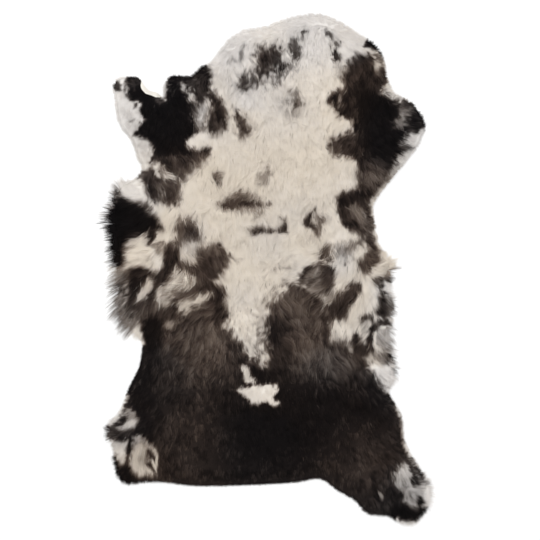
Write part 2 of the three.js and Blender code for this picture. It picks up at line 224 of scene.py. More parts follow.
# The markings, each laid over those before it. outline is in the photograph's pixels, edge is the
# width over which the strands of the two colours mingle, in millimetres, share is how far the
# strands inside take the tone, and streaks, 0 to 1, is how unevenly they do.
MARKINGS = table("name tone edge share streaks outline", [
    ("hind part", DARK, 7, 1, 0, [
        (139, 306), (150, 306), (160, 308), (170, 309), (182, 314), (192, 314), (202, 306), (212, 296),
        (222, 288), (226, 294), (226, 310), (224, 320), (223, 327), (230, 331), (236, 337), (241, 342),
        (244, 350), (249, 358), (255, 357), (258, 360), (261, 365), (266, 364), (271, 357), (270, 344),
        (268, 330), (265, 322), (270, 313), (268, 307), (272, 302), (282, 298), (287, 291), (285, 283),
        (294, 284), (303, 287), (312, 291), (320, 298), (330, 312), (336, 320), (330, 322), (329, 330),
        (330, 340), (338, 339), (345, 341), (352, 349), (351, 340), (356, 333), (360, 338), (366, 350),
        (366, 358), (370, 369), (378, 380), (386, 391), (398, 404), (412, 420), (412, 440), (440, 460),
        (440, 520), (410, 534), (390, 526), (360, 518), (350, 506), (321, 494), (240, 498), (160, 494),
        (112, 488), (100, 460), (90, 430), (106, 418), (118, 405), (116, 392), (126, 372), (137, 352),
        (138, 322)]),
    ("rump, blacker", BLACK, 40, 0.85, 0, [
        (232, 385), (300, 372), (350, 380), (392, 402), (398, 440), (330, 440), (312, 470), (236, 466),
        (222, 420)]),
    ("rump, left, blacker", BLACK, 30, 0.85, 0, [
        (133, 360), (155, 364), (155, 400), (151, 421), (139, 427), (129, 401), (133, 380)]),
    ("loin, brown sheen", TAN_AND_PAINTED_SHEEN, 45, 0.85, 0, [
        (166, 316), (201, 314), (223, 319), (227, 348), (226, 373), (201, 380), (175, 373), (162, 341)]),
    ("loin, sheen by the stem", TAN_AND_PAINTED_SHEEN, 14, 0.7, 0, [
        (198, 326), (222, 326), (224, 352), (204, 356)]),
    ("right loin, grey sheen", TAN_AND_PAINTED_SHEEN, 30, 0.8, 0, [
        (272, 292), (300, 287), (319, 301), (326, 314), (325, 340), (338, 346), (352, 354), (360, 373),
        (335, 382), (300, 380), (284, 366), (282, 330), (271, 317)]),
    ("right loin, dark valley", DARK, 25, 0.85, 0, [
        (266, 321), (284, 317), (287, 351), (269, 364), (262, 348)]),
    ("left loin, dark side", BLACK, 16, 0.85, 0, [
        (139, 307), (158, 308), (164, 320), (160, 345), (148, 352), (141, 334)]),
    ("left hip, brown sheen", BROWN, 40, 0.4, 0, [
        (156, 404), (192, 409), (218, 431), (212, 467), (197, 480), (172, 474), (161, 452)]),
    ("right hip, brown sheen", BROWN, 30, 0.5, 0, [
        (336, 419), (367, 419), (398, 415), (401, 436), (390, 458), (392, 498), (364, 501), (331, 475),
        (320, 468), (346, 462)]),
    # painted shade: a black line down a crease of the right leg
    ("right leg, crease", BLACK, 5, 0.9, 0, [
        (371, 473), (375, 478), (378, 491), (379, 503), (375, 504), (372, 488)]),
    ("white streak", CREAM, 4, 0.95, 0.5, [
        (242, 367), (248, 364), (250, 370), (251, 375), (257, 381), (248, 382), (243, 378), (245, 373)]),
    ("white spot", CREAM, 4, 1, 0.3, [
        (234, 390), (241, 388), (252, 387), (254, 384), (265, 385), (276, 385), (274, 389), (278, 390),
        (273, 395), (272, 398), (279, 403), (272, 405), (266, 401), (256, 403), (251, 403), (246, 396),
        (241, 392)]),
    # painted shade: the cream of the left foreleg, where the strands lie flat, is darkened to pale and then a
    # little towards grey
    ("left foreleg, soft cream", PALE, 8, 1, 0, [
        (119, 92), (126, 94), (132, 100), (144, 108), (146, 134), (160, 150), (150, 170), (143, 164),
        (135, 146), (127, 134), (122, 120), (120, 106)]),
    ("left foreleg, shade", GREY, 10, 0.25, 0, [
        (112, 96), (130, 100), (140, 110), (143, 135), (156, 152), (148, 168), (138, 170), (122, 148),
        (110, 112)]),
    # painted shade: a grey-brown line in a small crease of the left foreleg
    ("left foreleg, small crease", GREY_BROWN, 2, 0.6, 0, [
        (124, 122), (130, 119), (136, 119), (131, 122)]),
    # left shoulder and foreleg
    ("left shoulder", BLACK, 5, 1, 0, [
        (125, 79), (128, 74), (140, 74), (142, 82), (147, 89), (153, 92), (160, 95), (165, 99),
        (165, 92), (165, 82), (168, 73), (176, 73), (190, 74), (196, 70), (199, 65), (207, 64),
        (210, 74), (210, 88), (208, 96), (203, 103), (198, 110), (196, 122), (200, 131), (194, 136),
        (188, 140), (189, 148), (197, 150), (209, 149), (211, 154), (203, 160), (196, 164), (180, 162),
        (165, 160), (150, 163), (155, 155), (153, 147), (146, 140), (138, 136), (133, 133), (138, 128),
        (144, 121), (141, 114), (141, 106), (139, 102), (130, 100), (126, 94)]),
    ("notch, brown edge", TAN_AND_PAINTED_SHEEN, 6, 0.6, 0.2, [
        (149, 94), (156, 96), (163, 98), (165, 103), (161, 107), (155, 103)]),
    ("shoulder, brown front", BROWN, 12, 0.65, 0, [
        (178, 76), (196, 73), (210, 70), (210, 92), (206, 104), (198, 108), (192, 96), (184, 86)]),
    ("shoulder, grey shadow", TAN_AND_PAINTED_SHEEN, 10, 0.8, 0, [
        (191, 96), (199, 98), (203, 108), (200, 122), (196, 129), (193, 115)]),
    ("shoulder, grey streak", PALE, 6, 0.9, 0.3, [
        (180, 83), (186, 86), (192, 93), (195, 103), (190, 101), (185, 94)]),
    ("shoulder, grey wedge", GREY, 8, 0.75, 0.3, [
        (201, 108), (206, 103), (211, 108), (209, 122), (204, 132), (199, 131), (200, 118)]),
    ("brown finger", DARK, 7, 1, 0, [
        (207, 92), (214, 91), (220, 98), (225, 107), (228, 120), (225, 128), (219, 134), (213, 135),
        (208, 130), (206, 124), (210, 117), (212, 110), (209, 102)]),
    ("brown finger, foot", BROWN, 8, 0.8, 0, [
        (204, 121), (214, 118), (222, 122), (220, 132), (213, 136), (207, 131)]),
    ("foreleg tip", DARK, 4, 0.9, 0, [
        (111, 81), (118, 80), (122, 87), (121, 92), (116, 92), (112, 88)]),
    ("left foreleg, brown top", BROWN, 7, 0.6, 0, [
        (126, 75), (141, 75), (142, 85), (136, 92), (127, 90)]),
    ("left foreleg, dark hairs", DARK, 3, 0.7, 0.3, [
        (133, 102), (138, 103), (137, 109), (134, 108)]),
    ("shoulder foot", BROWN, 7, 1, 0, [
        (150, 163), (157, 158), (175, 156), (200, 152), (210, 154), (203, 160), (196, 164), (194, 171),
        (188, 176), (183, 182), (180, 190), (180, 200), (176, 207), (168, 205), (158, 203), (150, 200),
        (146, 191), (141, 184), (136, 178), (143, 173), (149, 169), (158, 169), (164, 167), (157, 164)]),
    ("shoulder foot, dark core", DARK, 10, 0.8, 0, [
        (156, 161), (185, 158), (205, 152), (196, 163), (186, 170), (172, 170), (162, 166)]),
    ("shoulder foot, dark side", DARK, 7, 0.8, 0, [
        (140, 177), (149, 176), (153, 190), (162, 203), (150, 201), (145, 192)]),
    ("shoulder foot, pale hairs", PALE, 5, 0.55, 1, [
        (150, 166), (162, 168), (174, 174), (183, 180), (176, 184), (163, 180), (153, 176)]),
    ("shoulder foot, lower hairs", GREY, 6, 0.45, 1, [
        (154, 184), (166, 186), (168, 197), (158, 199)]),
    ("shoulder foot, grey toe", GREY_BROWN, 8, 0.6, 0.3, [
        (194, 162), (206, 156), (212, 158), (204, 168), (196, 178), (189, 178)]),
    # left flank
    ("left flank", BLACK, 7, 1, 0, [
        (122, 194), (128, 198), (136, 201), (146, 206), (150, 212), (156, 216), (160, 223), (163, 229),
        (156, 232), (148, 233), (143, 236), (137, 237), (132, 240), (129, 246), (127, 251), (128, 258),
        (126, 265), (121, 269), (108, 269), (103, 260), (101, 248), (100, 240), (94, 232), (88, 225),
        (92, 218), (103, 214), (110, 208), (117, 199)]),
    ("flank, brown shoulder", BROWN, 6, 0.9, 0, [
        (136, 199), (147, 202), (156, 213), (150, 214), (142, 208)]),
    ("flank, horn", DARK, 5, 0.57, 0.8, [
        (110, 176), (118, 178), (124, 189), (122, 196), (116, 205), (106, 216), (98, 208), (104, 192)]),
    ("flank, outer hairs", GREY_BROWN, 6, 0.5, 1, [
        (88, 212), (104, 206), (110, 214), (107, 226), (110, 240), (110, 264), (96, 266), (86, 236)]),
    ("flank, tongue", DARK, 4, 0.95, 0.2, [
        (148, 229), (155, 229), (156, 238), (153, 247), (149, 246)]),
    ("flank, brown hairs", GREY_BROWN, 6, 0.6, 0.5, [
        (131, 243), (142, 242), (142, 249), (132, 253)]),
    ("pale tab", CREAM, 8, 1, 0, [
        (120, 181), (130, 186), (141, 179), (144, 190), (148, 199), (140, 200), (132, 198), (126, 195),
        (121, 190)]),
    ("left flank, brown ground", BROWN, 6, 1, 0, [
        (166, 246), (172, 243), (181, 249), (182, 260), (188, 256), (195, 250), (203, 245), (212, 243),
        (221, 245), (230, 256), (226, 266), (222, 275), (213, 282), (220, 286), (226, 290), (227, 318),
        (139, 318), (126, 310), (127, 276), (130, 267), (138, 265), (150, 269), (160, 270), (163, 258)]),
    ("left flank, tan hairs", GREY_BROWN, 9, 0.7, 0.3, [
        (152, 250), (160, 242), (172, 240), (180, 234), (182, 248), (168, 250), (160, 262), (155, 257)]),
    ("rib spot", TAN_AND_PAINTED_SHEEN, 9, 0.95, 0, [
        (175, 221), (181, 217), (188, 219), (196, 218), (198, 224), (200, 232), (202, 239), (196, 242),
        (186, 244), (178, 248), (172, 246), (176, 238), (174, 230)]),
    ("rib spot, dark side", DARK, 7, 0.5, 0, [
        (182, 222), (196, 221), (201, 234), (200, 241), (190, 243), (184, 236)]),
    ("rib spot, pale hairs", PALE, 6, 0.85, 0.8, [
        (179, 247), (190, 242), (203, 243), (198, 252), (194, 264), (186, 261), (181, 255)]),
    ("flank diagonal", DARK, 6, 0.9, 0, [
        (168, 250), (178, 250), (179, 258), (174, 268), (168, 278), (163, 288), (159, 300), (152, 302),
        (150, 294), (154, 286), (155, 276), (158, 272), (163, 266), (165, 258)]),
    ("left loin, dark middle", DARK, 12, 0.25, 0, [
        (198, 258), (215, 252), (227, 258), (223, 270), (214, 279), (200, 281), (190, 270)]),
    ("left loin, brown top", TAN_AND_PAINTED_SHEEN, 7, 0.6, 0.4, [
        (192, 252), (204, 245), (221, 246), (230, 255), (218, 256), (204, 256), (196, 261)]),
    ("loin, dark rim of the stem", DARK, 8, 0.9, 0, [
        (210, 284), (221, 287), (225, 296), (225, 320), (216, 322), (214, 305), (204, 292)]),
    ("flank curl", DARK, 8, 0.95, 0.3, [
        (131, 268), (138, 266), (145, 269), (149, 275), (149, 281), (144, 287), (140, 293), (137, 299),
        (134, 305), (130, 310), (127, 305), (128, 294), (130, 284), (129, 275)]),
    ("flank tuft, upper", CREAM, 6, 1, 0.4, [
        (130, 262), (131, 254), (136, 248), (143, 245), (151, 250), (158, 257), (161, 264), (159, 269),
        (151, 268), (145, 265), (137, 264), (132, 265)]),
    ("flank tuft, streaks", GREY, 6, 0.35, 1, [
        (131, 256), (144, 246), (157, 254), (161, 266), (147, 266), (132, 265)]),
    ("left fringe", GREY_BROWN, 8, 1, 0.5, [
        (94, 268), (116, 268), (130, 268), (129, 290), (127, 306), (132, 312), (139, 312), (141, 325),
        (124, 350), (100, 350), (94, 310)]),
    ("left fringe, dark strands", DARK, 7, 0.5, 1, [
        (108, 282), (129, 270), (128, 300), (132, 310), (138, 312), (136, 326), (116, 340), (110, 318),
        (122, 300), (108, 296)]),
    ("left fringe, pale strands", CREAM, 6, 0.33, 1, [
        (100, 286), (112, 284), (124, 298), (122, 314), (132, 318), (122, 340), (100, 340)]),
    ("left fringe, white skin", CREAM, 4, 1, 0, [
        (140, 324), (141, 334), (144, 346), (124, 352), (128, 338), (134, 328)]),
    ("left fringe, pale root", GREY, 7, 0.6, 0.3, [
        (110, 267), (122, 269), (124, 278), (116, 283), (108, 276)]),
    ("flank tuft", PALE, 5, 1, 0.6, [
        (150, 278), (154, 283), (152, 290), (148, 296), (143, 300), (136, 302), (138, 296), (141, 290),
        (146, 284)]),
    ("pale lobe", PALE, 8, 0.95, 0.5, [
        (178, 267), (184, 269), (191, 274), (198, 281), (191, 285), (182, 289), (174, 295), (170, 302),
        (163, 306), (158, 300), (160, 291), (165, 283), (170, 276), (174, 270)]),
    ("pale lobe, streaks", GREY_BROWN, 7, 0.45, 1, [
        (172, 270), (184, 268), (198, 280), (186, 288), (172, 300), (160, 304), (160, 292)]),
    ("second pale lobe", PALE, 9, 0.9, 0.4, [
        (180, 303), (187, 299), (196, 300), (203, 296), (207, 292), (212, 295), (207, 302), (198, 306),
        (191, 312), (184, 315), (180, 311), (178, 307)]),
    ("grey spot of the loin", GREY, 5, 0.9, 0, [
        (165, 321), (172, 321), (179, 323), (174, 328), (167, 330)]),
    # neck
    ("large neck spot", BROWN, 12, 1, 0, [
        (254, 58), (257, 52), (261, 47), (268, 48), (275, 46), (281, 50), (283, 58), (282, 66),
        (277, 70), (271, 74), (266, 78), (262, 82), (257, 80), (258, 74), (256, 66)]),
    ("large neck spot, core", DARK, 12, 0.6, 0, [
        (258, 58), (263, 52), (270, 53), (274, 60), (270, 70), (262, 78), (258, 70)]),
    ("large neck spot, left trail", BROWN, 9, 0.7, 0.1, [
        (251, 70), (260, 76), (261, 84), (256, 91), (250, 86), (248, 78)]),
    ("large neck spot, right trail", TAN_AND_PAINTED_SHEEN, 11, 0.7, 0.3, [
        (272, 72), (282, 64), (290, 66), (297, 60), (301, 56), (301, 63), (296, 71), (288, 77),
        (280, 85), (272, 88), (268, 80)]),
    ("large neck spot, dark hairs", DARK, 8, 0.6, 0.3, [
        (276, 64), (284, 62), (290, 66), (286, 74), (276, 78), (272, 72)]),
    ("left neck spot", BROWN, 9, 1, 0, [
        (236, 90), (238, 83), (241, 77), (245, 73), (250, 80), (250, 88), (246, 92), (240, 92)]),
    ("middle neck spot", BROWN, 8, 0.85, 0.3, [
        (290, 40), (293, 36), (298, 39), (301, 45), (302, 53), (299, 59), (294, 61), (290, 55), (290, 48)]),
    ("crown spot", TAN_AND_PAINTED_SHEEN, 6, 0.8, 0.2, [
        (299, 38), (301, 31), (305, 26), (307, 31), (304, 36), (302, 41)]),
    ("right crown spots", TAN_AND_PAINTED_SHEEN, 7, 0.85, 0.2, [
        (325, 33), (328, 30), (332, 33), (335, 38), (333, 42), (328, 40)]),
    ("crown hairs", TAN_AND_PAINTED_SHEEN, 7, 0.75, 0.5, [
        (331, 48), (332, 42), (337, 38), (341, 42), (338, 48)]),
    ("right neck spot", DARK, 5, 0.9, 0.4, [
        (331, 54), (336, 50), (340, 55), (339, 62), (334, 65), (331, 60)]),
    ("neck, grey hairs", GREY_BROWN, 4, 0.8, 0.4, [
        (241, 54), (241, 48), (245, 42), (247, 44), (245, 52), (245, 62), (241, 62)]),
    ("neck, left grey hairs", GREY, 7, 0.8, 0.5, [
        (227, 54), (234, 56), (241, 58), (240, 64), (231, 64)]),
    ("right neck, grey hairs", GREY, 8, 0.75, 0.2, [
        (334, 64), (342, 62), (344, 72), (342, 82), (336, 80)]),
    ("neck, left shade", GREY, 16, 0.25, 0, [
        (222, 50), (246, 30), (256, 44), (250, 62), (238, 76), (228, 100), (218, 90)]),
    ("shoulder spot", TAN_AND_PAINTED_SHEEN, 9, 0.8, 0, [
        (291, 92), (296, 91), (300, 97), (303, 105), (300, 112), (293, 111), (290, 104)]),
    ("shoulder spot, faint", GREY, 8, 0.55, 0, [
        (277, 98), (290, 97), (290, 109), (278, 111)]),
    ("shoulder spot, grey hairs", GREY, 7, 0.55, 0.3, [
        (283, 110), (302, 110), (302, 121), (288, 121)]),
    ("withers spot", BROWN, 8, 1, 0, [
        (234, 111), (241, 114), (247, 120), (251, 128), (249, 135), (244, 138), (239, 134), (237, 126),
        (235, 118)]),
    # right shoulder and foreleg
    ("rim tufts", BLACK, 3, 1, 0.2, [
        (363, 48), (366, 42), (369, 34), (376, 36), (384, 42), (390, 52), (391, 62), (384, 62),
        (380, 56), (375, 52), (370, 49)]),
    ("rim tufts, grey", GREY_BROWN, 5, 0.7, 0.8, [
        (372, 52), (380, 54), (390, 60), (390, 70), (384, 67), (379, 71), (374, 62)]),
    ("right shoulder", DARK, 6, 1, 0, [
        (346, 64), (350, 60), (356, 57), (363, 56), (370, 54), (373, 58), (374, 66), (377, 73), (381, 68),
        (392, 68), (392, 84), (384, 88), (382, 93), (385, 97), (392, 101), (400, 102), (404, 98), (416, 100),
        (430, 116), (432, 128), (422, 130), (416, 132), (405, 134), (403, 140), (401, 146), (404, 150),
        (400, 155), (396, 160), (396, 165), (403, 170), (395, 178), (388, 188), (378, 196), (366, 197),
        (358, 190), (357, 180), (357, 172), (355, 163), (350, 160), (343, 158), (336, 157), (331, 157),
        (329, 145), (333, 141), (341, 135), (347, 135), (353, 133), (354, 127), (352, 122), (346, 120),
        (341, 117), (337, 117), (335, 112), (333, 107), (330, 105), (328, 100), (330, 94), (334, 91),
        (340, 89), (342, 92), (343, 84), (343, 76), (345, 70)]),
    ("right shoulder, blacker", BLACK, 14, 0.9, 0, [
        (360, 88), (378, 92), (390, 104), (400, 110), (412, 122), (400, 150), (394, 162), (380, 160),
        (366, 150), (358, 130), (358, 105)]),
    ("right shoulder, brown front", BROWN, 14, 0.4, 0, [
        (345, 64), (356, 57), (372, 56), (386, 72), (384, 82), (362, 80), (345, 84)]),
    ("shoulder, hairs in the pale strip", DARK, 5, 0.4, 1, [
        (378, 90), (390, 88), (400, 95), (414, 100), (404, 106), (388, 102), (379, 100)]),
    ("foreleg, grey patch", GREY_BROWN, 7, 0.85, 0, [
        (400, 104), (408, 105), (412, 110), (408, 118), (408, 126), (402, 129), (395, 127), (394, 120),
        (399, 114)]),
    ("foreleg, pale core", GREY, 5, 0.7, 0.3, [
        (401, 111), (406, 113), (407, 121), (402, 126), (396, 125), (399, 118)]),
    ("foreleg, lower hairs", BROWN, 3, 0.8, 0.4, [
        (401, 142), (409, 145), (416, 148), (406, 150), (401, 149)]),
    ("right shoulder, pale rim", CREAM, 3, 0.8, 0.3, [
        (383, 50), (386, 62), (386, 76), (387, 86), (392, 93), (402, 98), (412, 101), (424, 100),
        (396, 46)]),
    ("right shoulder, pale lower rim", PALE, 4, 0.85, 0.3, [
        (394, 166), (386, 174), (381, 183), (377, 190), (369, 199), (384, 204), (396, 196), (404, 184),
        (410, 168)]),
    ("right shoulder, brown foot", TAN_AND_PAINTED_SHEEN, 9, 0.8, 0, [
        (364, 166), (380, 164), (392, 172), (388, 180), (378, 188), (366, 188), (362, 178)]),
    ("right shoulder, brown left", BROWN, 8, 0.8, 0, [
        (329, 144), (338, 138), (352, 134), (356, 146), (348, 156), (333, 156)]),
    ("right shoulder, pale gap", GREY, 4, 0.6, 0.4, [
        (338, 96), (342, 94), (343, 108), (339, 108)]),
    ("right shoulder, soft left edge", GREY, 10, 0.35, 0.3, [
        (346, 162), (358, 162), (360, 188), (350, 186)]),
    # right flank
    ("right flank", DARK, 6, 1, 0, [
        (336, 197), (343, 192), (352, 190), (362, 188), (372, 194), (370, 202), (372, 214), (374, 226),
        (376, 240), (379, 250), (381, 259), (376, 266), (368, 271), (359, 271), (358, 264), (365, 257),
        (368, 250), (366, 244), (360, 238), (353, 232), (344, 226), (339, 216), (337, 206)]),
    ("right flank, brown middle", GREY_BROWN, 6, 0.5, 0.5, [
        (360, 214), (366, 210), (372, 218), (376, 232), (376, 244), (368, 244), (362, 236), (358, 226)]),
    ("right flank, grey hairs", GREY_BROWN, 6, 0.8, 0.5, [
        (346, 207), (356, 203), (363, 210), (366, 221), (360, 224), (350, 216)]),
    ("right flank, brown foot", TAN_AND_PAINTED_SHEEN, 6, 0.7, 0, [
        (358, 260), (367, 252), (377, 250), (381, 260), (374, 268), (366, 272), (358, 270)]),
    ("ribs, grey", BROWN, 8, 0.85, 0.3, [
        (320, 248), (326, 243), (332, 246), (334, 254), (332, 260), (326, 263), (319, 261), (318, 254)]),
    ("ribs, pale grey", GREY, 9, 0.85, 0.3, [
        (332, 244), (345, 242), (362, 240), (366, 246), (356, 256), (350, 262), (342, 260), (334, 258)]),
    ("ribs, brown hairs", GREY_BROWN, 7, 0.85, 0.4, [
        (341, 249), (344, 244), (352, 243), (362, 240), (360, 245), (352, 249), (346, 251)]),
    ("ribs, dark hairs", BROWN, 4, 0.6, 0.5, [
        (336, 263), (342, 260), (349, 262), (346, 268), (342, 267)]),
    ("dark curl", TAN_AND_PAINTED_SHEEN, 5, 1, 0.2, [
        (298, 279), (302, 271), (308, 266), (316, 263), (328, 263), (333, 270), (335, 282), (332, 290),
        (322, 296), (312, 291), (304, 287)]),
    ("dark curl, upper arc", DARK, 3, 0.95, 0, [
        (298, 279), (302, 271), (308, 266), (314, 264), (315, 269), (308, 271), (304, 276), (303, 282)]),
    ("dark curl, right arc", BROWN, 4, 0.9, 0, [
        (321, 266), (328, 263), (333, 270), (335, 281), (331, 289), (324, 288), (322, 280), (325, 273)]),
    ("dark curl, pale arc", GREY, 3, 0.5, 0.3, [
        (309, 274), (316, 270), (320, 276), (320, 284), (316, 279), (311, 278)]),
    ("dark curl, outer pale arc", GREY, 2, 0.5, 0.3, [
        (303, 285), (304, 277), (310, 271), (318, 268), (320, 270), (312, 274), (307, 279), (306, 286)]),
    ("dark curl, inner pale arc", GREY, 2, 0.5, 0.3, [
        (308, 291), (310, 284), (315, 280), (322, 280), (322, 283), (315, 284), (312, 288), (312, 292)]),
    ("diagonal, halo", GREY_BROWN, 8, 0.7, 0.2, [
        (320, 298), (330, 292), (338, 288), (350, 281), (356, 277), (352, 286), (338, 296), (326, 304)]),
    ("diagonal", BROWN, 5, 1, 0, [
        (322, 304), (332, 302), (336, 296), (342, 292), (348, 289), (351, 284), (355, 282), (361, 286),
        (360, 292), (357, 298), (354, 304), (350, 310), (346, 317), (340, 321), (332, 320), (328, 312)]),
    ("diagonal, dark middle", DARK, 7, 0.8, 0, [
        (330, 304), (340, 298), (350, 292), (352, 298), (346, 310), (338, 316), (330, 314)]),
    ("right fringe, upper", GREY_BROWN, 6, 0.9, 0.6, [
        (380, 293), (388, 291), (398, 298), (410, 304), (410, 320), (392, 318), (383, 318), (376, 304)]),
    ("right fringe, black root", DARK, 5, 1, 0, [
        (379, 284), (384, 284), (385, 296), (387, 306), (385, 318), (378, 317), (373, 312), (374, 307),
        (378, 302)]),
    ("right fringe, outer hairs", GREY, 5, 0.55, 1, [
        (389, 294), (402, 296), (406, 318), (392, 320), (390, 306)]),
    ("right fringe, dark strands", DARK, 4, 0.9, 0.2, [
        (371, 326), (377, 321), (384, 319), (391, 322), (395, 328), (388, 326), (381, 326), (376, 330),
        (374, 338), (373, 344), (375, 351), (370, 352), (366, 346), (366, 338), (369, 332), (368, 328)]),
    ("right fringe, dark peak", DARK, 5, 0.9, 0, [
        (352, 340), (354, 333), (358, 334), (364, 342), (370, 350), (366, 354), (356, 352)]),
    ("right fringe, small dark arc", DARK, 4, 0.95, 0, [
        (359, 318), (364, 314), (371, 316), (373, 322), (368, 322), (362, 322)]),
    ("right fringe, pale curl", GREY, 4, 0.8, 0.3, [
        (362, 326), (366, 323), (369, 327), (367, 333), (363, 334)]),
    ("right fringe, lower", GREY, 6, 0.9, 0.5, [
        (378, 332), (386, 327), (410, 327), (410, 352), (392, 354), (380, 350), (376, 344)]),
    ("right fringe, mottled hairs", TAN_AND_PAINTED_SHEEN, 6, 0.35, 1, [
        (378, 328), (404, 328), (406, 352), (382, 352)]),
    ("right fringe, pale hairs", CREAM, 6, 0.35, 1, [
        (378, 328), (404, 328), (406, 352), (382, 352)]),
    ("right fringe, knob", GREY_BROWN, 6, 0.95, 0.4, [
        (370, 352), (380, 350), (392, 352), (396, 362), (388, 365), (380, 362), (374, 360)]),
    ("right fringe, tip", DARK, 5, 0.6, 1, [
        (388, 352), (412, 350), (412, 396), (396, 384), (390, 368), (384, 361)]),
    ("flank point", GREY_BROWN, 4, 0.8, 0.4, [
        (383, 276), (387, 270), (394, 266), (406, 260), (406, 270), (394, 277), (384, 281)]),
    ("flank point, dark edge", DARK, 3, 0.8, 0.3, [
        (383, 281), (390, 277), (398, 269), (408, 264), (406, 274), (392, 283)]),
    ("flank point, dark hairs", BROWN, 4, 0.8, 0.3, [
        (370, 279), (377, 276), (385, 278), (384, 284), (374, 285)]),
    # back
    ("small back spot", TAN_AND_PAINTED_SHEEN, 4, 0.75, 0, [
        (212, 173), (217, 170), (224, 173), (223, 180), (218, 182), (212, 180)]),
    ("small back spot, dark hairs", DARK, 4, 0.5, 0.8, [
        (214, 178), (222, 178), (225, 184), (218, 187), (213, 183)]),
    ("back, grey hairs", GREY, 8, 0.8, 0.6, [
        (254, 173), (262, 171), (266, 165), (271, 166), (272, 178), (269, 188), (262, 187), (258, 181)]),
    ("back, brown hairs", GREY_BROWN, 3, 0.8, 0.2, [
        (264, 169), (267, 164), (271, 168), (270, 174), (265, 175)]),
    ("back arc, upper hairs", TAN_AND_PAINTED_SHEEN, 8, 0.8, 0.2, [
        (216, 203), (225, 196), (236, 190), (247, 191), (256, 196), (264, 202), (250, 205), (225, 207)]),
    ("back arc", BROWN, 5, 0.95, 0, [
        (219, 208), (223, 203), (232, 199), (244, 198), (256, 201), (264, 204), (271, 201), (271, 206),
        (264, 208), (256, 209), (246, 208), (236, 210), (226, 210)]),
    ("back arc, grey hairs", GREY, 8, 0.65, 0.8, [
        (236, 208), (256, 207), (268, 208), (268, 215), (256, 221), (240, 214)]),
    ("thin back mark", DARK, 4, 1, 0.3, [
        (249, 230), (253, 231), (257, 228), (263, 227), (268, 229), (276, 229), (282, 228), (287, 232),
        (282, 234), (275, 232), (266, 234), (258, 235), (252, 234)]),
    ("thin back mark, hook", BROWN, 3, 0.9, 0, [
        (275, 229), (280, 226), (282, 221), (280, 216), (285, 220), (287, 227), (284, 231)]),
    ("back fold", BROWN, 3, 1, 0, [
        (302, 222), (306, 216), (311, 211), (317, 205), (313, 213), (311, 219), (314, 225), (318, 231),
        (317, 237), (312, 231), (308, 226), (304, 226)]),
    ("back fold, dark middle", DARK, 2, 0.8, 0, [
        (306, 221), (310, 213), (312, 212), (310, 220), (315, 229), (316, 234), (311, 228)]),
    ("back fold, grey", GREY_BROWN, 6, 0.75, 0.5, [
        (313, 215), (320, 213), (326, 216), (329, 221), (324, 225), (322, 233), (319, 240), (316, 232),
        (314, 222)]),
    ("back fold, grey hairs", GREY, 9, 0.5, 0.2, [
        (303, 233), (318, 237), (321, 245), (304, 246)]),
    # painted shade: darker lines where the wool of the back parts
    ("back parting", BROWN, 2, 0.5, 0, [
        (261, 276), (269, 270), (277, 267), (290, 267), (290, 269), (278, 270), (270, 273), (263, 278)]),
    ("back parting, left", GREY_BROWN, 2, 0.6, 0, [
        (230, 256), (237, 257), (245, 257), (245, 259), (237, 260), (230, 258)]),
    ("back parting, right", BROWN, 2, 0.4, 0, [
        (284, 261), (288, 258), (293, 255), (294, 257), (290, 259), (286, 262)]),
    # hind feet
    ("left foot, upper tuft", GREY, 5, 0.9, 0.4, [
        (125, 407), (131, 408), (136, 413), (139, 419), (138, 425), (134, 427), (128, 429), (122, 430),
        (117, 426), (124, 424), (128, 421), (126, 416)]),
    ("left foot, pale sweep", PALE, 4, 0.9, 0.2, [
        (117, 427), (124, 424), (129, 421), (136, 420), (138, 425), (134, 428), (128, 430), (122, 431)]),
    ("left foot, upper shade", GREY_BROWN, 4, 0.6, 0.2, [
        (124, 406), (130, 407), (132, 411), (128, 420), (126, 416)]),
    ("left foot, white edge", CREAM, 4, 0.95, 0.2, [
        (128, 396), (125, 404), (123, 412), (119, 420), (112, 425), (98, 427), (94, 408), (118, 388)]),
    ("left foot, point", BROWN, 5, 0.8, 0.2, [
        (104, 430), (113, 425), (120, 430), (134, 429), (134, 434), (126, 438), (114, 437), (104, 437)]),
    ("left foot, outer lobe", PALE, 4, 1, 0.3, [
        (108, 438), (116, 441), (124, 441), (129, 441), (127, 448), (126, 455), (126, 460), (124, 467),
        (120, 463), (116, 456), (106, 456)]),
    ("left foot, dark crescent", BLACK, 3, 1, 0, [
        (127, 447), (128, 441), (132, 437), (135, 437), (133, 441), (131, 446), (129, 450), (127, 451)]),
    ("left foot, lobe", PALE, 6, 0.88, 0.4, [
        (133, 438), (139, 435), (144, 437), (147, 442), (148, 449), (149, 456), (148, 461), (145, 463),
        (147, 467), (152, 471), (156, 475), (147, 475), (141, 478), (135, 475), (130, 469), (129, 460),
        (129, 452), (132, 446), (135, 441)]),
    ("left foot, lobe shade", GREY, 6, 0.75, 0.6, [
        (131, 440), (140, 438), (148, 444), (149, 456), (145, 464), (138, 458), (137, 448), (131, 456)]),
    ("left foot, upper arc", PALE, 2, 0.85, 0.2, [
        (147, 441), (152, 443), (157, 449), (160, 456), (158, 465), (156, 462), (155, 455), (152, 449),
        (147, 446)]),
    ("left foot, lower arc", PALE, 2, 0.85, 0.2, [
        (149, 457), (153, 458), (157, 464), (158, 471), (154, 469), (152, 463), (148, 461)]),
    ("left foot, black tip", BLACK, 4, 1, 0, [
        (114, 462), (121, 464), (126, 463), (130, 469), (134, 477), (140, 480), (146, 478), (148, 490),
        (116, 490), (108, 470)]),
    ("right foot", PALE, 5, 0.7, 0.3, [
        (403, 461), (409, 459), (413, 464), (418, 472), (425, 482), (440, 487), (442, 498), (430, 510),
        (420, 508), (414, 507), (406, 504), (401, 500), (404, 494), (400, 488), (394, 484), (393, 476),
        (395, 469)]),
    ("right foot, white edge", CREAM, 4, 1, 0.2, [
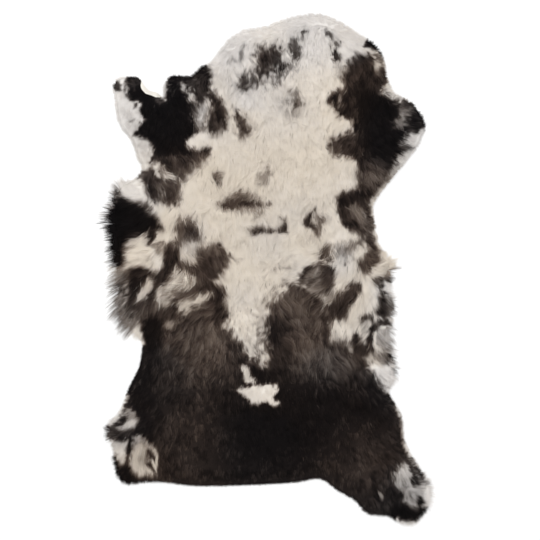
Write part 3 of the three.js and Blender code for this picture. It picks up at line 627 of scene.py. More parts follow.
        (413, 459), (416, 464), (420, 471), (425, 478), (431, 485), (444, 485), (444, 450), (422, 446)]),
    ("right leg, pale rim", CREAM, 3, 0.8, 0.3, [
        (392, 398), (396, 408), (401, 420), (402, 432), (403, 440), (404, 448), (408, 456), (414, 463),
        (420, 470), (425, 479), (446, 479), (430, 440), (414, 410), (402, 394)]),
    ("right foot, grey shade", GREY_BROWN, 6, 0.5, 0.7, [
        (397, 476), (404, 478), (411, 486), (416, 498), (412, 504), (404, 498), (400, 488)]),
    ("right foot, dark hairs", DARK, 2.5, 0.9, 0.3, [
        (403, 456), (407, 458), (412, 465), (415, 472), (420, 479), (421, 485), (417, 485), (413, 477),
        (409, 470), (406, 463)]),
    ("right foot, dark streak", BLACK, 2, 1, 0, [(411, 477), (414, 480), (416, 487), (413, 488)]),
    ("right foot, dark tip", BLACK, 3, 1, 0, [(418, 496), (422, 496), (425, 502), (421, 507), (418, 503)]),
    ("right foot, white side", CREAM, 4, 0.85, 0.3, [
        (422, 486), (446, 479), (446, 508), (430, 511), (427, 503), (424, 494)]),
    ("right foot, black toes", BLACK, 6, 1, 0, [
        (392, 506), (402, 504), (410, 508), (416, 510), (423, 506), (428, 514), (426, 524), (415, 526),
        (402, 536), (386, 526)]),
    ("right foot, white lower edge", CREAM, 4, 0.95, 0.2, [
        (396, 519), (404, 522), (414, 522), (422, 518), (428, 511), (442, 510), (438, 540), (398, 540)]),
    ("right leg tuft", GREY, 2, 0.9, 0.2, [(376, 490), (379, 492), (384, 498), (381, 500), (378, 496)]),
])


# Chance, and smooth random hills

chance = np.random.RandomState(SEED)


def smooth(t):
    """An even step that starts and ends softly, from 0 to 1."""
    t = np.clip(t, 0, 1)
    return t * t * (3 - 2 * t)


class Hills:
    """Smooth random hills between -1 and 1, of a given size across, over the whole rug."""

    def __init__(self, size):
        self.size = size
        self.corners = chance.uniform(-1, 1, [int(2 * half / size) + 4 for half in MAP_HALF])

    def __call__(self, x, y):
        across = (x + MAP_HALF[0]) / self.size + 1
        along = (y + MAP_HALF[1]) / self.size + 1
        i = np.clip(across.astype(int), 0, self.corners.shape[0] - 2)
        j = np.clip(along.astype(int), 0, self.corners.shape[1] - 2)
        return between(self.corners, i, j, smooth(across - i), smooth(along - j))


def between(grid, i, j, u, v):
    """The value of a grid a part u, v of the way across its cell i, j."""
    near = grid[i, j] * (1 - u) + grid[i + 1, j] * u
    far = grid[i, j + 1] * (1 - u) + grid[i + 1, j + 1] * u
    return near * (1 - v) + far * v


# Maps over the rug: every place has a value, read between the points of a grid

GRID_X = np.arange(-MAP_HALF[0], MAP_HALF[0] + MAP_PITCH / 2, MAP_PITCH)
GRID_Y = np.arange(-MAP_HALF[1], MAP_HALF[1] + MAP_PITCH / 2, MAP_PITCH)
MAP_X, MAP_Y = np.meshgrid(GRID_X, GRID_Y, indexing="ij")


def read(grid, x, y):
    """The value of a map at places x, y."""
    u = np.clip((x + MAP_HALF[0]) / MAP_PITCH, 0, len(GRID_X) - 1.001)
    v = np.clip((y + MAP_HALF[1]) / MAP_PITCH, 0, len(GRID_Y) - 1.001)
    i = u.astype(int)
    j = v.astype(int)
    return between(grid, i, j, u - i, v - j)


def blur(grid, times):
    """A map with each value evened out with those beside it."""
    for _ in range(times):
        padded = np.pad(grid, 1, mode="edge")
        grid = (padded[:-2, 1:-1] + padded[2:, 1:-1] + padded[1:-1, :-2] + padded[1:-1, 2:]) / 4
    return grid


def full_map(rough, step):
    """A map of the usual pitch from one of every step-th place."""
    fine = rough.repeat(step, axis=0).repeat(step, axis=1)
    return fine[:len(GRID_X), :len(GRID_Y)]


def to_rug(x, y):
    """A place in the photograph's pixels as a place on the rug."""
    return (x - ORIGIN_PIXEL[0]) * PIXEL, (ORIGIN_PIXEL[1] - y) * PIXEL


# The skin's edge

def rim_span(rows, part):
    """A place part of the way from the second to the third of four rows of the rim."""
    p0, p1, p2, p3 = rows
    knots = [0.0]
    for a, b in ((p0, p1), (p1, p2), (p2, p3)):
        knots.append(knots[-1] + math.sqrt(np.linalg.norm(b[:2] - a[:2])))
    t = knots[1] + part * (knots[2] - knots[1])
    a1 = p0 + (p1 - p0) * (t - knots[0]) / (knots[1] - knots[0])
    a2 = p1 + (p2 - p1) * (t - knots[1]) / (knots[2] - knots[1])
    a3 = p2 + (p3 - p2) * (t - knots[2]) / (knots[3] - knots[2])
    b1 = a1 + (a2 - a1) * (t - knots[0]) / (knots[2] - knots[0])
    b2 = a2 + (a3 - a2) * (t - knots[1]) / (knots[3] - knots[1])
    place = b1 + (b2 - b1) * (t - knots[1]) / (knots[2] - knots[1])
    place[2:] = p1[2:] + (p2[2:] - p1[2:]) * part
    return place


def rim_curve(spacing):
    """Places along the skin's edge, evenly spaced, as rows of x, y, reach and tailward."""
    rows = np.array([[r["x"] * MM, r["y"] * MM, r["reach"] * MM, r["tailward"]] for r in RIM])
    fine = []
    for k in range(len(rows)):
        four = [rows[(k + step) % len(rows)] for step in (-1, 0, 1, 2)]
        fine += [rim_span(four, part) for part in np.linspace(0, 1, 24, endpoint=False)]
    fine = np.array(fine + [fine[0]])
    steps = np.linalg.norm(np.diff(fine[:, :2], axis=0), axis=1)
    travelled = np.concatenate([[0], np.cumsum(steps)])
    goals = np.linspace(0, travelled[-1], int(travelled[-1] / spacing), endpoint=False)
    return np.stack([np.interp(goals, travelled, fine[:, c]) for c in range(4)], axis=1)


def distance_and_inside(x, y, loop):
    """Distance to a closed loop of places, whether each place is inside, and the nearest side."""
    distance = np.full(x.shape, np.inf)
    index = np.zeros(x.shape, int)
    within = np.zeros(x.shape, bool)
    for k in range(len(loop)):
        a = loop[k]
        b = loop[(k + 1) % len(loop)]
        side_x, side_y = b[0] - a[0], b[1] - a[1]
        length_squared = side_x * side_x + side_y * side_y
        t = np.clip(((x - a[0]) * side_x + (y - a[1]) * side_y) / length_squared, 0, 1)
        gap = np.hypot(x - a[0] - t * side_x, y - a[1] - t * side_y)
        closer = gap < distance
        distance = np.where(closer, gap, distance)
        index = np.where(closer, k, index)
        crosses = (a[1] > y) != (b[1] > y)
        if side_y:
            within ^= crosses & (x < a[0] + (y - a[1]) / side_y * side_x)
    return distance, within, index


rim = rim_curve(8 * MM)
away, inside, nearest = distance_and_inside(MAP_X, MAP_Y, rim[:, :2])
depth_map = np.where(inside, away, -away)
reach_map = blur(rim[nearest, 2], 4)
tailward_map = blur(rim[nearest, 3], 4)
out_x_map, out_y_map = np.gradient(-blur(depth_map, 6), MAP_PITCH)


# The wool's height, from the solid that carries it

def solid_height():
    """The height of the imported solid's top over the whole rug, 0 where there is none."""
    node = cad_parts["sheepskin"]
    corners = [node.matrix_world @ v.co for v in node.data.vertices]
    tree = BVHTree.FromPolygons(corners, [tuple(p.vertices) for p in node.data.polygons])
    step = 2
    rough = np.zeros((len(GRID_X[::step]), len(GRID_Y[::step])))
    for i, x in enumerate(GRID_X[::step]):
        for j, y in enumerate(GRID_Y[::step]):
            hit = tree.ray_cast(Vector((x, y, 1)), Vector((0, 0, -1)))[0]
            rough[i, j] = hit.z if hit else 0
    return full_map(rough, step)


solid = solid_height()
weight = blur((solid > 0).astype(float), 10)
height_map = np.where(weight > 0.02, blur(solid, 10) / np.maximum(weight, 0.05), 0)

tuft_hills = Hills(TUFT_SIZE)
dimple_hills = Hills(DIMPLE_SIZE)


def wool_depth(x, y):
    """How far a place is inside the dense wool's edge.

    That edge overhangs the skin's where the wool reaches past it, and stops short of it at the notch.
    """
    reach = read(reach_map, x, y)
    overhang = np.minimum(np.where(reach > 0, OVERHANG_SHARE, 1) * reach, WOOL_OVERHANG)
    return read(depth_map, x, y) - WOOL_STARTS + overhang


def undercoat_height(x, y):
    """The height of the dense wool's surface."""
    rise = np.sqrt(smooth(wool_depth(x, y) / FULL_HEIGHT_AT))
    full = (read(height_map, x, y) - HIDE_THICKNESS) * UNDERCOAT_SHARE
    full = full + TUFT_HEIGHT * tuft_hills(x, y) + DIMPLE_HEIGHT * dimple_hills(x, y)
    return HIDE_THICKNESS + RIM_HEIGHT + rise * np.maximum(full - RIM_HEIGHT, 1 * MM)


slope_x_map, slope_y_map = np.gradient(blur(undercoat_height(MAP_X, MAP_Y), 3), MAP_PITCH)
calm = 1 / (1 + STEEP_CALM * np.hypot(slope_x_map, slope_y_map) ** 2)
shade_x_map = blur(slope_x_map * calm, 3)
shade_y_map = blur(slope_y_map * calm, 3)


# How the wool lies, and how warm its colour is

def blended(rows, x, y, width, values):
    """Maps at x, y of what values gives for each row, blended from the rows that are near."""
    total = np.zeros(x.shape)
    sums = {}
    for row in rows:
        row_x, row_y = to_rug(row["x"], row["y"])
        near = 1 / ((x - row_x) ** 2 + (y - row_y) ** 2 + width ** 2) ** 2
        total += near
        for name, value in values(row).items():
            sums[name] = sums.get(name, 0) + near * value
    return {name: value / total for name, value in sums.items()}


def lie_values(row):
    """A row of LIE in metres and radians, its heading as a cosine and a sine."""
    heading = math.radians(row["heading"])
    return {
        "cos": math.cos(heading),
        "sin": math.sin(heading),
        "length": row["length"] * MM,
        "lift": math.radians(row["lift"]),
        "curl": math.radians(row["curl"]),
        "lock": row["lock"],
    }


def lie_maps():
    step = 4
    rough = blended(LIE, MAP_X[::step, ::step], MAP_Y[::step, ::step], LIE_BLEND, lie_values)
    return {name: blur(full_map(values, step), 12) for name, values in rough.items()}


lie = lie_maps()
warmth_map = blended(WARMTH, MAP_X, MAP_Y, WARMTH_BLEND, lambda row: {"warmth": row["warmth"]})["warmth"]
drift_hills = Hills(34 * MM)


# The markings

warp_hills = [Hills(size * MM) for size in (26, 26, 9, 9)]
ragged_hills = Hills(5 * MM)
sheen_and_tone_hills = Hills(16 * MM)
broad_shade_and_warmth_hills = Hills(55 * MM)


def tones(x, y, group_luck, own_luck):
    """The tone of the wool seen at places x, y. Where two colours mingle, luck decides."""
    x_warp, y_warp, fine_x_warp, fine_y_warp = (hills(x, y) for hills in warp_hills)
    ragged = ragged_hills(x, y)
    x = x + MM * (BROAD_WARP * x_warp + FINE_WARP * fine_x_warp)
    y = y + MM * (BROAD_WARP * y_warp + FINE_WARP * fine_y_warp)
    tone = np.full(x.shape, CREAM)
    for mark in MARKINGS:
        outline = np.array([to_rug(*place) for place in mark["outline"]])
        margin = mark["edge"] * EDGE_SOFTNESS * MM
        low = outline.min(axis=0) - STRAY_REACH * margin
        high = outline.max(axis=0) + STRAY_REACH * margin
        near = np.nonzero((x > low[0]) & (x < high[0]) & (y > low[1]) & (y < high[1]))[0]
        if not len(near):
            continue
        gap, inside_it, _ = distance_and_inside(x[near], y[near], outline)
        signed = np.where(inside_it, -gap, gap) + 0.5 * margin * ragged[near]
        share = smooth(0.5 - signed / (2 * margin)) * mark["share"]
        shared = 0.2 + 0.4 * mark["streaks"]
        luck = 0.1 + 0.8 * (shared * group_luck[near] + (1 - shared) * own_luck[near])
        mingle = MINGLE * (1 - mark["streaks"])
        amount = mingle * share + (1 - mingle) * smooth(0.5 + (1.3 * share - 0.15 - luck) / 0.4)
        strays = STRAYS * mark["share"] * smooth(1 - signed / (STRAY_REACH * margin))
        amount = np.maximum(amount, 0.7 * (own_luck[near] < strays))
        tone[near] += (mark["tone"] - tone[near]) * amount
    return tone


# Meshes

def piece(name, vertices, faces_by_size, material, uv=None):
    """A mesh object from arrays: each array of faces holds quads alone, or triangles alone."""
    mesh = bpy.data.meshes.new(name)
    loops = np.concatenate([faces.ravel() for faces in faces_by_size])
    sizes = np.concatenate([np.full(len(faces), faces.shape[1]) for faces in faces_by_size])
    mesh.vertices.add(len(vertices))
    mesh.vertices.foreach_set("co", np.asarray(vertices, np.float32).ravel())
    mesh.loops.add(len(loops))
    mesh.loops.foreach_set("vertex_index", loops.astype(np.int32))
    mesh.polygons.add(len(sizes))
    starts = np.concatenate([[0], np.cumsum(sizes)[:-1]])
    mesh.polygons.foreach_set("loop_start", starts.astype(np.int32))
    mesh.polygons.foreach_set("loop_total", sizes.astype(np.int32))
    mesh.polygons.foreach_set("use_smooth", np.full(len(sizes), True))
    if uv is not None:
        layer = mesh.uv_layers.new(name="OFBake")
        layer.data.foreach_set("uv", np.asarray(uv[loops], np.float32).ravel())
    mesh.update(calc_edges=True)
    mesh.validate()
    mesh.materials.append(material)
    return placed(name, mesh)


def placed(name, data):
    """A new object in the scene."""
    made = bpy.data.objects.new(name, data)
    bpy.context.scene.collection.objects.link(made)
    return made


def open_edges(faces):
    """The edges that only one of the faces has, each in that face's direction."""
    size = faces.shape[1]
    edges = np.concatenate([faces[:, [k, (k + 1) % size]] for k in range(size)])
    corners = faces.max() + 1
    keys = edges[:, 0] * corners + edges[:, 1]
    twins = edges[:, 1] * corners + edges[:, 0]
    return edges[~np.isin(keys, twins)]


# Materials

class Shading:
    """A new material, with short ways to add nodes to it."""

    def __init__(self, name):
        self.material = bpy.data.materials.new(name)
        self.material.use_nodes = True
        self.tree = self.material.node_tree
        self.shader = self.tree.nodes["Principled BSDF"]

    def set(self, node, inputs):
        """Give each input its value, or join it to another node's output."""
        for name, value in inputs.items():
            if isinstance(value, bpy.types.NodeSocket):
                self.tree.links.new(value, node.inputs[name])
            else:
                node.inputs[name].default_value = value

    def add(self, kind, inputs, output, **settings):
        """The output of a new node."""
        node = self.tree.nodes.new("ShaderNode" + kind)
        for name, value in settings.items():
            setattr(node, name, value)
        self.set(node, inputs)
        return node.outputs[output]

    def math(self, operation, value, other=0):
        return self.add("Math", {0: value, 1: other}, "Value", operation=operation)

    def mixed(self, first, second, factor, blend="MIX"):
        inputs = {"Factor": factor, "A": first, "B": second}
        return self.add("Mix", inputs, "Result", data_type="RGBA", blend_type=blend)

    def noise(self, scale, detail):
        """Even noise, its scale in metres of the piece."""
        where = self.add("TexCoord", {}, "Object")
        return self.add("TexNoise", {"Vector": where, "Scale": scale, "Detail": detail}, "Fac")

    def bumped(self, height, strength, distance):
        inputs = {"Height": height, "Strength": strength, "Distance": distance}
        self.set(self.shader, {"Normal": self.add("Bump", inputs, "Normal")})

    def roughened(self, value, low, high):
        inputs = {"Value": value, "To Min": low, "To Max": high}
        self.set(self.shader, {"Roughness": self.add("MapRange", inputs, "Result")})

    def ramp(self, value, stops):
        """A colour for each value, from stops that are each a position and a colour."""
        node = self.tree.nodes.new("ShaderNodeValToRGB")
        elements = node.color_ramp.elements
        while len(elements) < len(stops):
            elements.new(0.5)
        for element, (position, colour) in zip(elements, stops):
            element.position = position
            element.color = (*colour, 1)
        self.set(node, {"Fac": value})
        return node.outputs["Color"]


WOOL_COLOURS = table("tone cool warm", [
    (0.00, (0.0022, 0.0020, 0.0024), (0.0046, 0.0032, 0.0028)),
    (0.12, (0.0085, 0.0074, 0.0078), (0.0150, 0.0102, 0.0084)),
    (0.26, (0.046, 0.040, 0.038), (0.066, 0.045, 0.035)),
    (0.45, (0.145, 0.133, 0.125), (0.170, 0.129, 0.101)),
    (0.62, (0.305, 0.290, 0.281), (0.335, 0.276, 0.224)),
    (0.80, (0.560, 0.538, 0.521), (0.590, 0.519, 0.440)),
    (1.00, (0.762, 0.736, 0.713), (0.800, 0.728, 0.622)),
])
ROWS = 12  # of the wool's map, from cool to warm wool, each with a strip that runs along a strand
STRIP = 0.5 / ROWS
WOOL_GLOSS = 0.04


def wool_colour(shading, tone, warmth, share=1.0):
    """The wool's colour, from sockets that give its tone and its warmth."""
    sides = []
    for column in ("cool", "warm"):
        stops = [(row["tone"], tuple(share * part for part in row[column])) for row in WOOL_COLOURS]
        sides.append(shading.ramp(tone, stops))
    return shading.mixed(*sides, warmth)


def wool_material():
    """Strands: the map's u is the wool's tone, v is its warmth and runs from root to tip."""
    shading = Shading("wool_strands")
    uv = shading.add("UVMap", {}, "UV", uv_map="OFBake")
    tone = shading.add("SeparateXYZ", {"Vector": uv}, "X")
    rows = shading.math("MULTIPLY", shading.add("SeparateXYZ", {"Vector": uv}, "Y"), ROWS)
    along = shading.math("MULTIPLY", shading.math("FRACT", rows), 2)
    warmth = shading.math("DIVIDE", shading.math("FLOOR", rows), ROWS - 1)
    shade = shading.ramp(along, [(0.0, (0.90, 0.89, 0.87)), (0.4, (0.98, 0.97, 0.97)), (1.0, (1, 1, 1))])
    colour = shading.mixed(wool_colour(shading, tone, warmth), shade, 1, "MULTIPLY")
    shading.set(shading.shader, {"Base Color": colour, "Specular IOR Level": WOOL_GLOSS})
    shading.roughened(along, 0.9, 0.62)
    return shading.material


def undercoat_material():
    """The dense wool under the strands, a little darker, with fine crimped fibres."""
    shading = Shading("wool_undercoat")
    tone, warmth = (shading.add("Attribute", {}, "Fac", attribute_name=name) for name in ("tone", "warmth"))
    colour = wool_colour(shading, tone, warmth, share=0.92)
    shading.set(shading.shader, {"Base Color": colour, "Specular IOR Level": WOOL_GLOSS})
    fibres = shading.noise(420, 4)
    shading.bumped(fibres, 0.6, 1.5 * MM)
    shading.roughened(fibres, 0.8, 1)
    return shading.material


def leather_material():
    """Tanned flesh side: off-white suede with a soft nap and faint stains."""
    shading = Shading("tanned_skin")
    stops = [(0.3, (0.66, 0.60, 0.52)), (0.5, (0.77, 0.73, 0.66)), (0.75, (0.84, 0.82, 0.77))]
    colour = shading.ramp(shading.noise(14, 6), stops)
    shading.set(shading.shader, {"Base Color": colour, "Sheen Weight": 0.2})
    nap = shading.noise(900, 3)
    shading.bumped(nap, 0.35, 0.6 * MM)
    shading.roughened(nap, 0.72, 0.92)
    return shading.material


WOOL = wool_material()
UNDERCOAT = undercoat_material()
LEATHER = leather_material()


# The skin

def hide():
    """The tanned skin: a closed sheet on the floor, cut along the rim."""
    loop = rim_curve(5 * MM)[:, :2]
    xs = np.arange(-MAP_HALF[0], MAP_HALF[0], HIDE_PITCH)
    ys = np.arange(-MAP_HALF[1], MAP_HALF[1], HIDE_PITCH)
    x, y = (grid.ravel() for grid in np.meshgrid(xs, ys))
    keep = read(depth_map, x, y) > 0.5 * HIDE_PITCH
    places = [Vector(place) for place in loop] + [Vector(place) for place in zip(x[keep], y[keep])]
    edges = [(k, (k + 1) % len(loop)) for k in range(len(loop))]
    flat, _, triangles, _, _, _ = delaunay_2d_cdt(places, edges, [], 1, 1e-6)
    flat = np.array([tuple(place) for place in flat])
    triangles = np.array(triangles)
    first, second, third = flat[triangles].transpose(1, 0, 2)
    turn = np.cross(second - first, third - first)
    triangles[turn < 0] = triangles[turn < 0][:, ::-1]
    x, y = flat.T
    depth = read(depth_map, x, y)
    edge = smooth(depth / (6 * MM))
    top = HIDE_THICKNESS * (0.7 + 0.3 * edge) + WAVER_HEIGHT * Hills(WAVER_SIZE)(x, y) * edge
    bottom = 0.15 * MM * (1 - edge)
    bare = smooth(-read(reach_map, x, y) / (4 * MM))
    curl = CURL_HEIGHT * bare * smooth(1 - depth / CURL_WIDTH)
    low = np.column_stack([x, y, bottom + curl])
    high = np.column_stack([x, y, top + curl])
    a, b = open_edges(triangles).T
    count = len(flat)
    sides = np.stack([b, b + count, a + count, a], axis=1)
    faces = np.concatenate([triangles + count, triangles[:, ::-1]])
    return piece("tanned_skin", np.concatenate([low, high]), [sides, faces], LEATHER)


# The dense wool

def undercoat_sheet():
    """The dense wool from above: its corners' places, and its quads."""
    xs = np.arange(-MAP_HALF[0], MAP_HALF[0], UNDERCOAT_PITCH)
    ys = np.arange(-MAP_HALF[1], MAP_HALF[1], UNDERCOAT_PITCH)
    x, y = np.meshgrid(xs, ys, indexing="ij")
    deep = wool_depth(x, y)
    whole = (deep[:-1, :-1] > 0) & (deep[1:, :-1] > 0) & (deep[1:, 1:] > 0) & (deep[:-1, 1:] > 0)
    number = np.arange(x.size).reshape(x.shape)
    i, j = np.nonzero(whole)
    quads = np.stack([number[i, j], number[i + 1, j], number[i + 1, j + 1], number[i, j + 1]], axis=1)
    used, quads = np.unique(quads, return_inverse=True)
    return x.ravel()[used], y.ravel()[used], quads.reshape(-1, 4)


def undercoat():
    """A closed lumpy body that fills the fleece under its strands."""
    x, y, quads = undercoat_sheet()
    count = len(x)
    rim_edges = open_edges(quads)
    on_rim = np.zeros(count, bool)
    on_rim[rim_edges.ravel()] = True
    for _ in range(2):
        out_x = read(out_x_map, x, y)
        out_y = read(out_y_map, x, y)
        slide = np.where(on_rim, wool_depth(x, y), 0)
        x = x + out_x * slide
        y = y + out_y * slide
    top = np.column_stack([x, y, undercoat_height(x, y)])
    low = np.column_stack([x, y, np.full(count, HIDE_THICKNESS + 0.4 * MM)])
    a, b = rim_edges.T
    sides = np.stack([b + count, a + count, a, b], axis=1)
    faces = np.concatenate([quads, quads[:, ::-1] + count, sides])
    body = piece("dense_wool", np.concatenate([top, low]), [faces], UNDERCOAT)
    luck = np.full(count, 0.5)
    for name, values in (("tone", tones(x, y, luck, luck)), ("warmth", read(warmth_map, x, y))):
        layer = body.data.attributes.new(name, "FLOAT", "POINT")
        layer.data.foreach_set("value", np.tile(values, 2).astype(np.float32))
    return body


# The strands

def scattered(spacing):
    """Places about spacing apart, jittered, over the whole rug."""
    row_step = spacing * math.sqrt(0.75)
    rows = int(2 * MAP_HALF[1] / row_step)
    columns = int(2 * MAP_HALF[0] / spacing)
    j, i = np.meshgrid(np.arange(rows), np.arange(columns), indexing="ij")
    x = -MAP_HALF[0] + (i + 0.5 * (j % 2)) * spacing
    y = -MAP_HALF[1] + j * row_step
    jitter = chance.uniform(-0.45, 0.45, (2, *x.shape)) * spacing
    return (x + jitter[0]).ravel(), (y + jitter[1]).ravel()


def nearest_place(x, y, place_x, place_y, cell):
    """The index of the place nearest to each x, y, looking in the cells around it."""
    rows = int(2 * MAP_HALF[1] / cell) + 3
    place_i = ((place_x + MAP_HALF[0]) / cell).astype(int) + 1
    place_j = ((place_y + MAP_HALF[1]) / cell).astype(int) + 1
    order = np.argsort(place_i * rows + place_j, kind="stable")
    keys = (place_i * rows + place_j)[order]
    i = ((x + MAP_HALF[0]) / cell).astype(int) + 1
    j = ((y + MAP_HALF[1]) / cell).astype(int) + 1
    best = np.full(x.shape, np.inf)
    index = np.zeros(x.shape, int)
    for across in (-1, 0, 1):
        for along in (-1, 0, 1):
            key = (i + across) * rows + j + along
            first = np.searchsorted(keys, key, "left")
            last = np.searchsorted(keys, key, "right")
            for k in range(int((last - first).max(initial=0))):
                candidate = order[np.minimum(first + k, len(order) - 1)]
                gap = np.hypot(x - place_x[candidate], y - place_y[candidate])
                gap = np.where(first + k < last, gap, np.inf)
                closer = gap < best
                best = np.where(closer, gap, best)
                index = np.where(closer, candidate, index)
    return index


def unit(vectors):
    return vectors / np.maximum(np.linalg.norm(vectors, axis=-1, keepdims=True), 1e-9)


def grow(x, y, heading, length, lift, curl, steps):
    """The middle line of each strand: an array of strands by points by 3."""
    line = np.zeros((len(x), steps + 1, 3))
    line[:, 0] = np.column_stack([x, y, undercoat_height(x, y) - 1 * MM])
    slope_x = read(slope_x_map, x, y)
    slope_y = read(slope_y_map, x, y)
    normal = unit(np.column_stack([-slope_x, -slope_y, np.ones(len(x))]))
    for k in range(steps):
        t = (k + 0.5) / steps
        angle = heading + curl * t ** 1.4
        rise = lift * (1 - 1.5 * t)
        ahead_x, ahead_y = np.cos(angle), np.sin(angle)
        along = unit(np.column_stack([ahead_x, ahead_y, slope_x * ahead_x + slope_y * ahead_y]))
        step = along * np.cos(rise)[:, None] + normal * np.sin(rise)[:, None]
        line[:, k + 1] = line[:, k] + step * (length / steps)[:, None]
    return line


def gather(line, middle, draw):
    """Strands drawn towards their lock's middle line, mostly sideways, the more so at their tips."""
    steps = line.shape[1] - 1
    for k in range(1, steps + 1):
        pull = (draw * (k / steps) ** 1.3)[:, None]
        gap = middle[:, k] - line[:, k]
        ahead = unit(middle[:, k] - middle[:, k - 1])
        level = ahead * (gap * ahead).sum(axis=1, keepdims=True)
        line[:, k] += (gap - (1 - TIPS_LEVEL) * level) * pull
    return line


def settle(line):
    """Strands past the skin's edge droop to the floor and rest on it."""
    x, y = line[..., 0], line[..., 1]
    past = np.maximum(-read(depth_map, x, y), 0)
    spare = chance.uniform(0, 1, len(line))[:, None]
    ceiling = np.where(past > 0, (2 + 3 * spare) * MM + 8 * MM * np.exp(-past / (14 * MM)), 1)
    line[..., 2] = np.maximum(np.minimum(line[..., 2], ceiling), (0.6 + spare) * MM)
    return line


def place_along(line, part):
    """The place a given part of the way along each strand."""
    at = part * (line.shape[1] - 1)
    before = min(int(at), line.shape[1] - 2)
    return line[:, before] + (line[:, before + 1] - line[:, before]) * (at - before)


def habit(x, y, own):
    """The heading, length, lift and curl of the wool at x, y, with chance's own part in each."""
    heading = np.arctan2(read(lie["sin"], x, y), read(lie["cos"], x, y))
    heading = heading + 0.35 * drift_hills(x, y) + own[0] * (0.12 + 0.45 * read(lie["curl"], x, y))
    length = read(lie["length"], x, y) * (1 + 0.16 * own[1])
    lift = read(lie["lift"], x, y) * (1 + 0.3 * own[2])
    curl = read(lie["curl"], x, y) * own[3]
    return heading, length, lift, curl


def rim_lie(x, y, heading, length, luck, fringe):
    """Near the rim the wool turns outwards, and its tips end about where the pelt does."""
    depth = read(depth_map, x, y)
    reach = read(reach_map, x, y)
    out_x = read(out_x_map, x, y)
    out_y = read(out_y_map, x, y) - read(tailward_map, x, y)
    turn = np.arctan2(out_y, out_x) - heading
    turn = (turn + 1.2 * math.pi) % (2 * math.pi) - 1.2 * math.pi
    heading = heading + smooth(1 - depth / RIM_TURN) * turn
    long = smooth((reach - 10 * MM) / (30 * MM))
    middle = 1.12 if fringe else 0.88 - 0.3 * long
    spread = 1.05 if fringe else 0.8 - 0.1 * long
    limit = depth + reach * np.where(reach > 0, middle + spread * (luck - 0.5), 0.2 + luck)
    return heading, np.minimum(length, np.maximum(limit, 3 * MM)), limit


class Locks:
    """Locks of wool over the rug, or round its rim, each with its own habits and its own luck."""

    def __init__(self, fringe):
        spacing = FRINGE_LOCK_SPACING if fringe else LOCK_SPACING
        x, y = scattered(spacing)
        depth = read(depth_map, x, y)
        keep = (depth > 0) & (depth < (FRINGE_LOCK_DEPTH if fringe else math.inf))
        x, y = x[keep], y[keep]
        self.x, self.y, self.spacing = x, y, spacing
        self.own = chance.normal(0, 1, (4, len(x))).clip(-2, 2)
        self.luck = chance.uniform(0, 1, len(x))
        heading, length, self.lift, self.curl = habit(x, y, self.own)
        self.together = np.clip(2.5 * (read(lie["lock"], x, y) - 0.34), 0, 0.4)
        luck = 0.5 + (self.luck - 0.5) * 2 * self.together
        self.heading, self.length, limit = rim_lie(x, y, heading, length, luck, fringe)
        if fringe:
            self.length = np.maximum(limit, 6 * MM)

    def lines(self, steps):
        return grow(self.x, self.y, self.heading, self.length, self.lift, self.curl, steps)


def lay(x, y, steps, fringe=False):
    """Strands rooted at x, y: their middle lines, and their tones and warmth."""
    locks = Locks(fringe)
    group = nearest_place(x, y, locks.x, locks.y, 1.6 * locks.spacing)
    own = chance.normal(0, 1, (4, len(x))).clip(-2, 2)
    own_luck = chance.uniform(0, 1, len(x))
    lock = read(lie["lock"], x, y)
    heading = locks.heading[group] + (0.12 + 0.4 * read(lie["curl"], x, y)) * own[0]
    length = locks.length[group] * (1 + 0.12 * own[1])
    lift = locks.lift[group] * (1 + 0.25 * own[2])
    curl = locks.curl[group] + 0.1 * own[3]
    luck = own_luck + (locks.luck[group] - own_luck) * locks.together[group]
    _, capped, limit = rim_lie(x, y, heading, length, luck, fringe)
    length = np.maximum(limit, 5 * MM) if fringe else capped
    line = grow(x, y, heading, length, lift, curl, steps)
    line = settle(gather(line, locks.lines(steps)[group], lock * (0.85 + 0.15 * own_luck)))
    tone, warmth = strand_colours(line, lock, own, own_luck, locks, group, fringe)
    return line, tone, warmth


def strand_colours(line, lock, own, own_luck, locks, group, fringe):
    """The tone at each of the strands' points, and their warmth."""
    middle_x, middle_y, _ = place_along(line, 0.5).T
    # painted sheen: on dark wool each strand and lock is made lighter or darker at random, as if catching the
    # light; on pale wool the same spread is the wool's own uneven tone
    sheen = sheen_and_tone_hills(middle_x, middle_y) + 0.75 * own[0] + 0.65 * locks.own[1][group]
    pale_spread = 0.025 + 0.3 * np.maximum(lock - 0.38, 0)
    # broad hills: painted broad shade in the pale wool's tone, and the wool's own warmer and cooler parts in
    # its warmth
    broad_shade_and_warmth = broad_shade_and_warmth_hills(middle_x, middle_y)
    follows = FRINGE_TONE_FOLLOWS if fringe else TONE_FOLLOWS
    steps = line.shape[1] - 1
    tone = np.zeros((len(line), steps + 1))
    for k in range(steps + 1):
        seen = place_along(line, 0.5 + follows * (k / steps - 0.5))
        here = tones(seen[:, 0], seen[:, 1], locks.luck[group], own_luck)
        if fringe:
            here = here + PALER_TIPS * (k / steps) ** 2 * (CREAM - here)
        spread = np.where(here < 0.5, 0.16 * here + 0.02, pale_spread)
        tone[:, k] = here + spread * sheen + 0.06 * broad_shade_and_warmth * here
    warmth = read(warmth_map, middle_x, middle_y) + 0.12 * broad_shade_and_warmth + 0.08 * own[1]
    return np.clip(tone, 0, 1), np.clip(warmth, 0, 1)


def both_sides(values):
    """Values at a line's points as values at a ribbon's corners: two for each, one for the tip."""
    return np.concatenate([np.repeat(values[:, :-1], 2, axis=1), values[:, -1:]], axis=1)


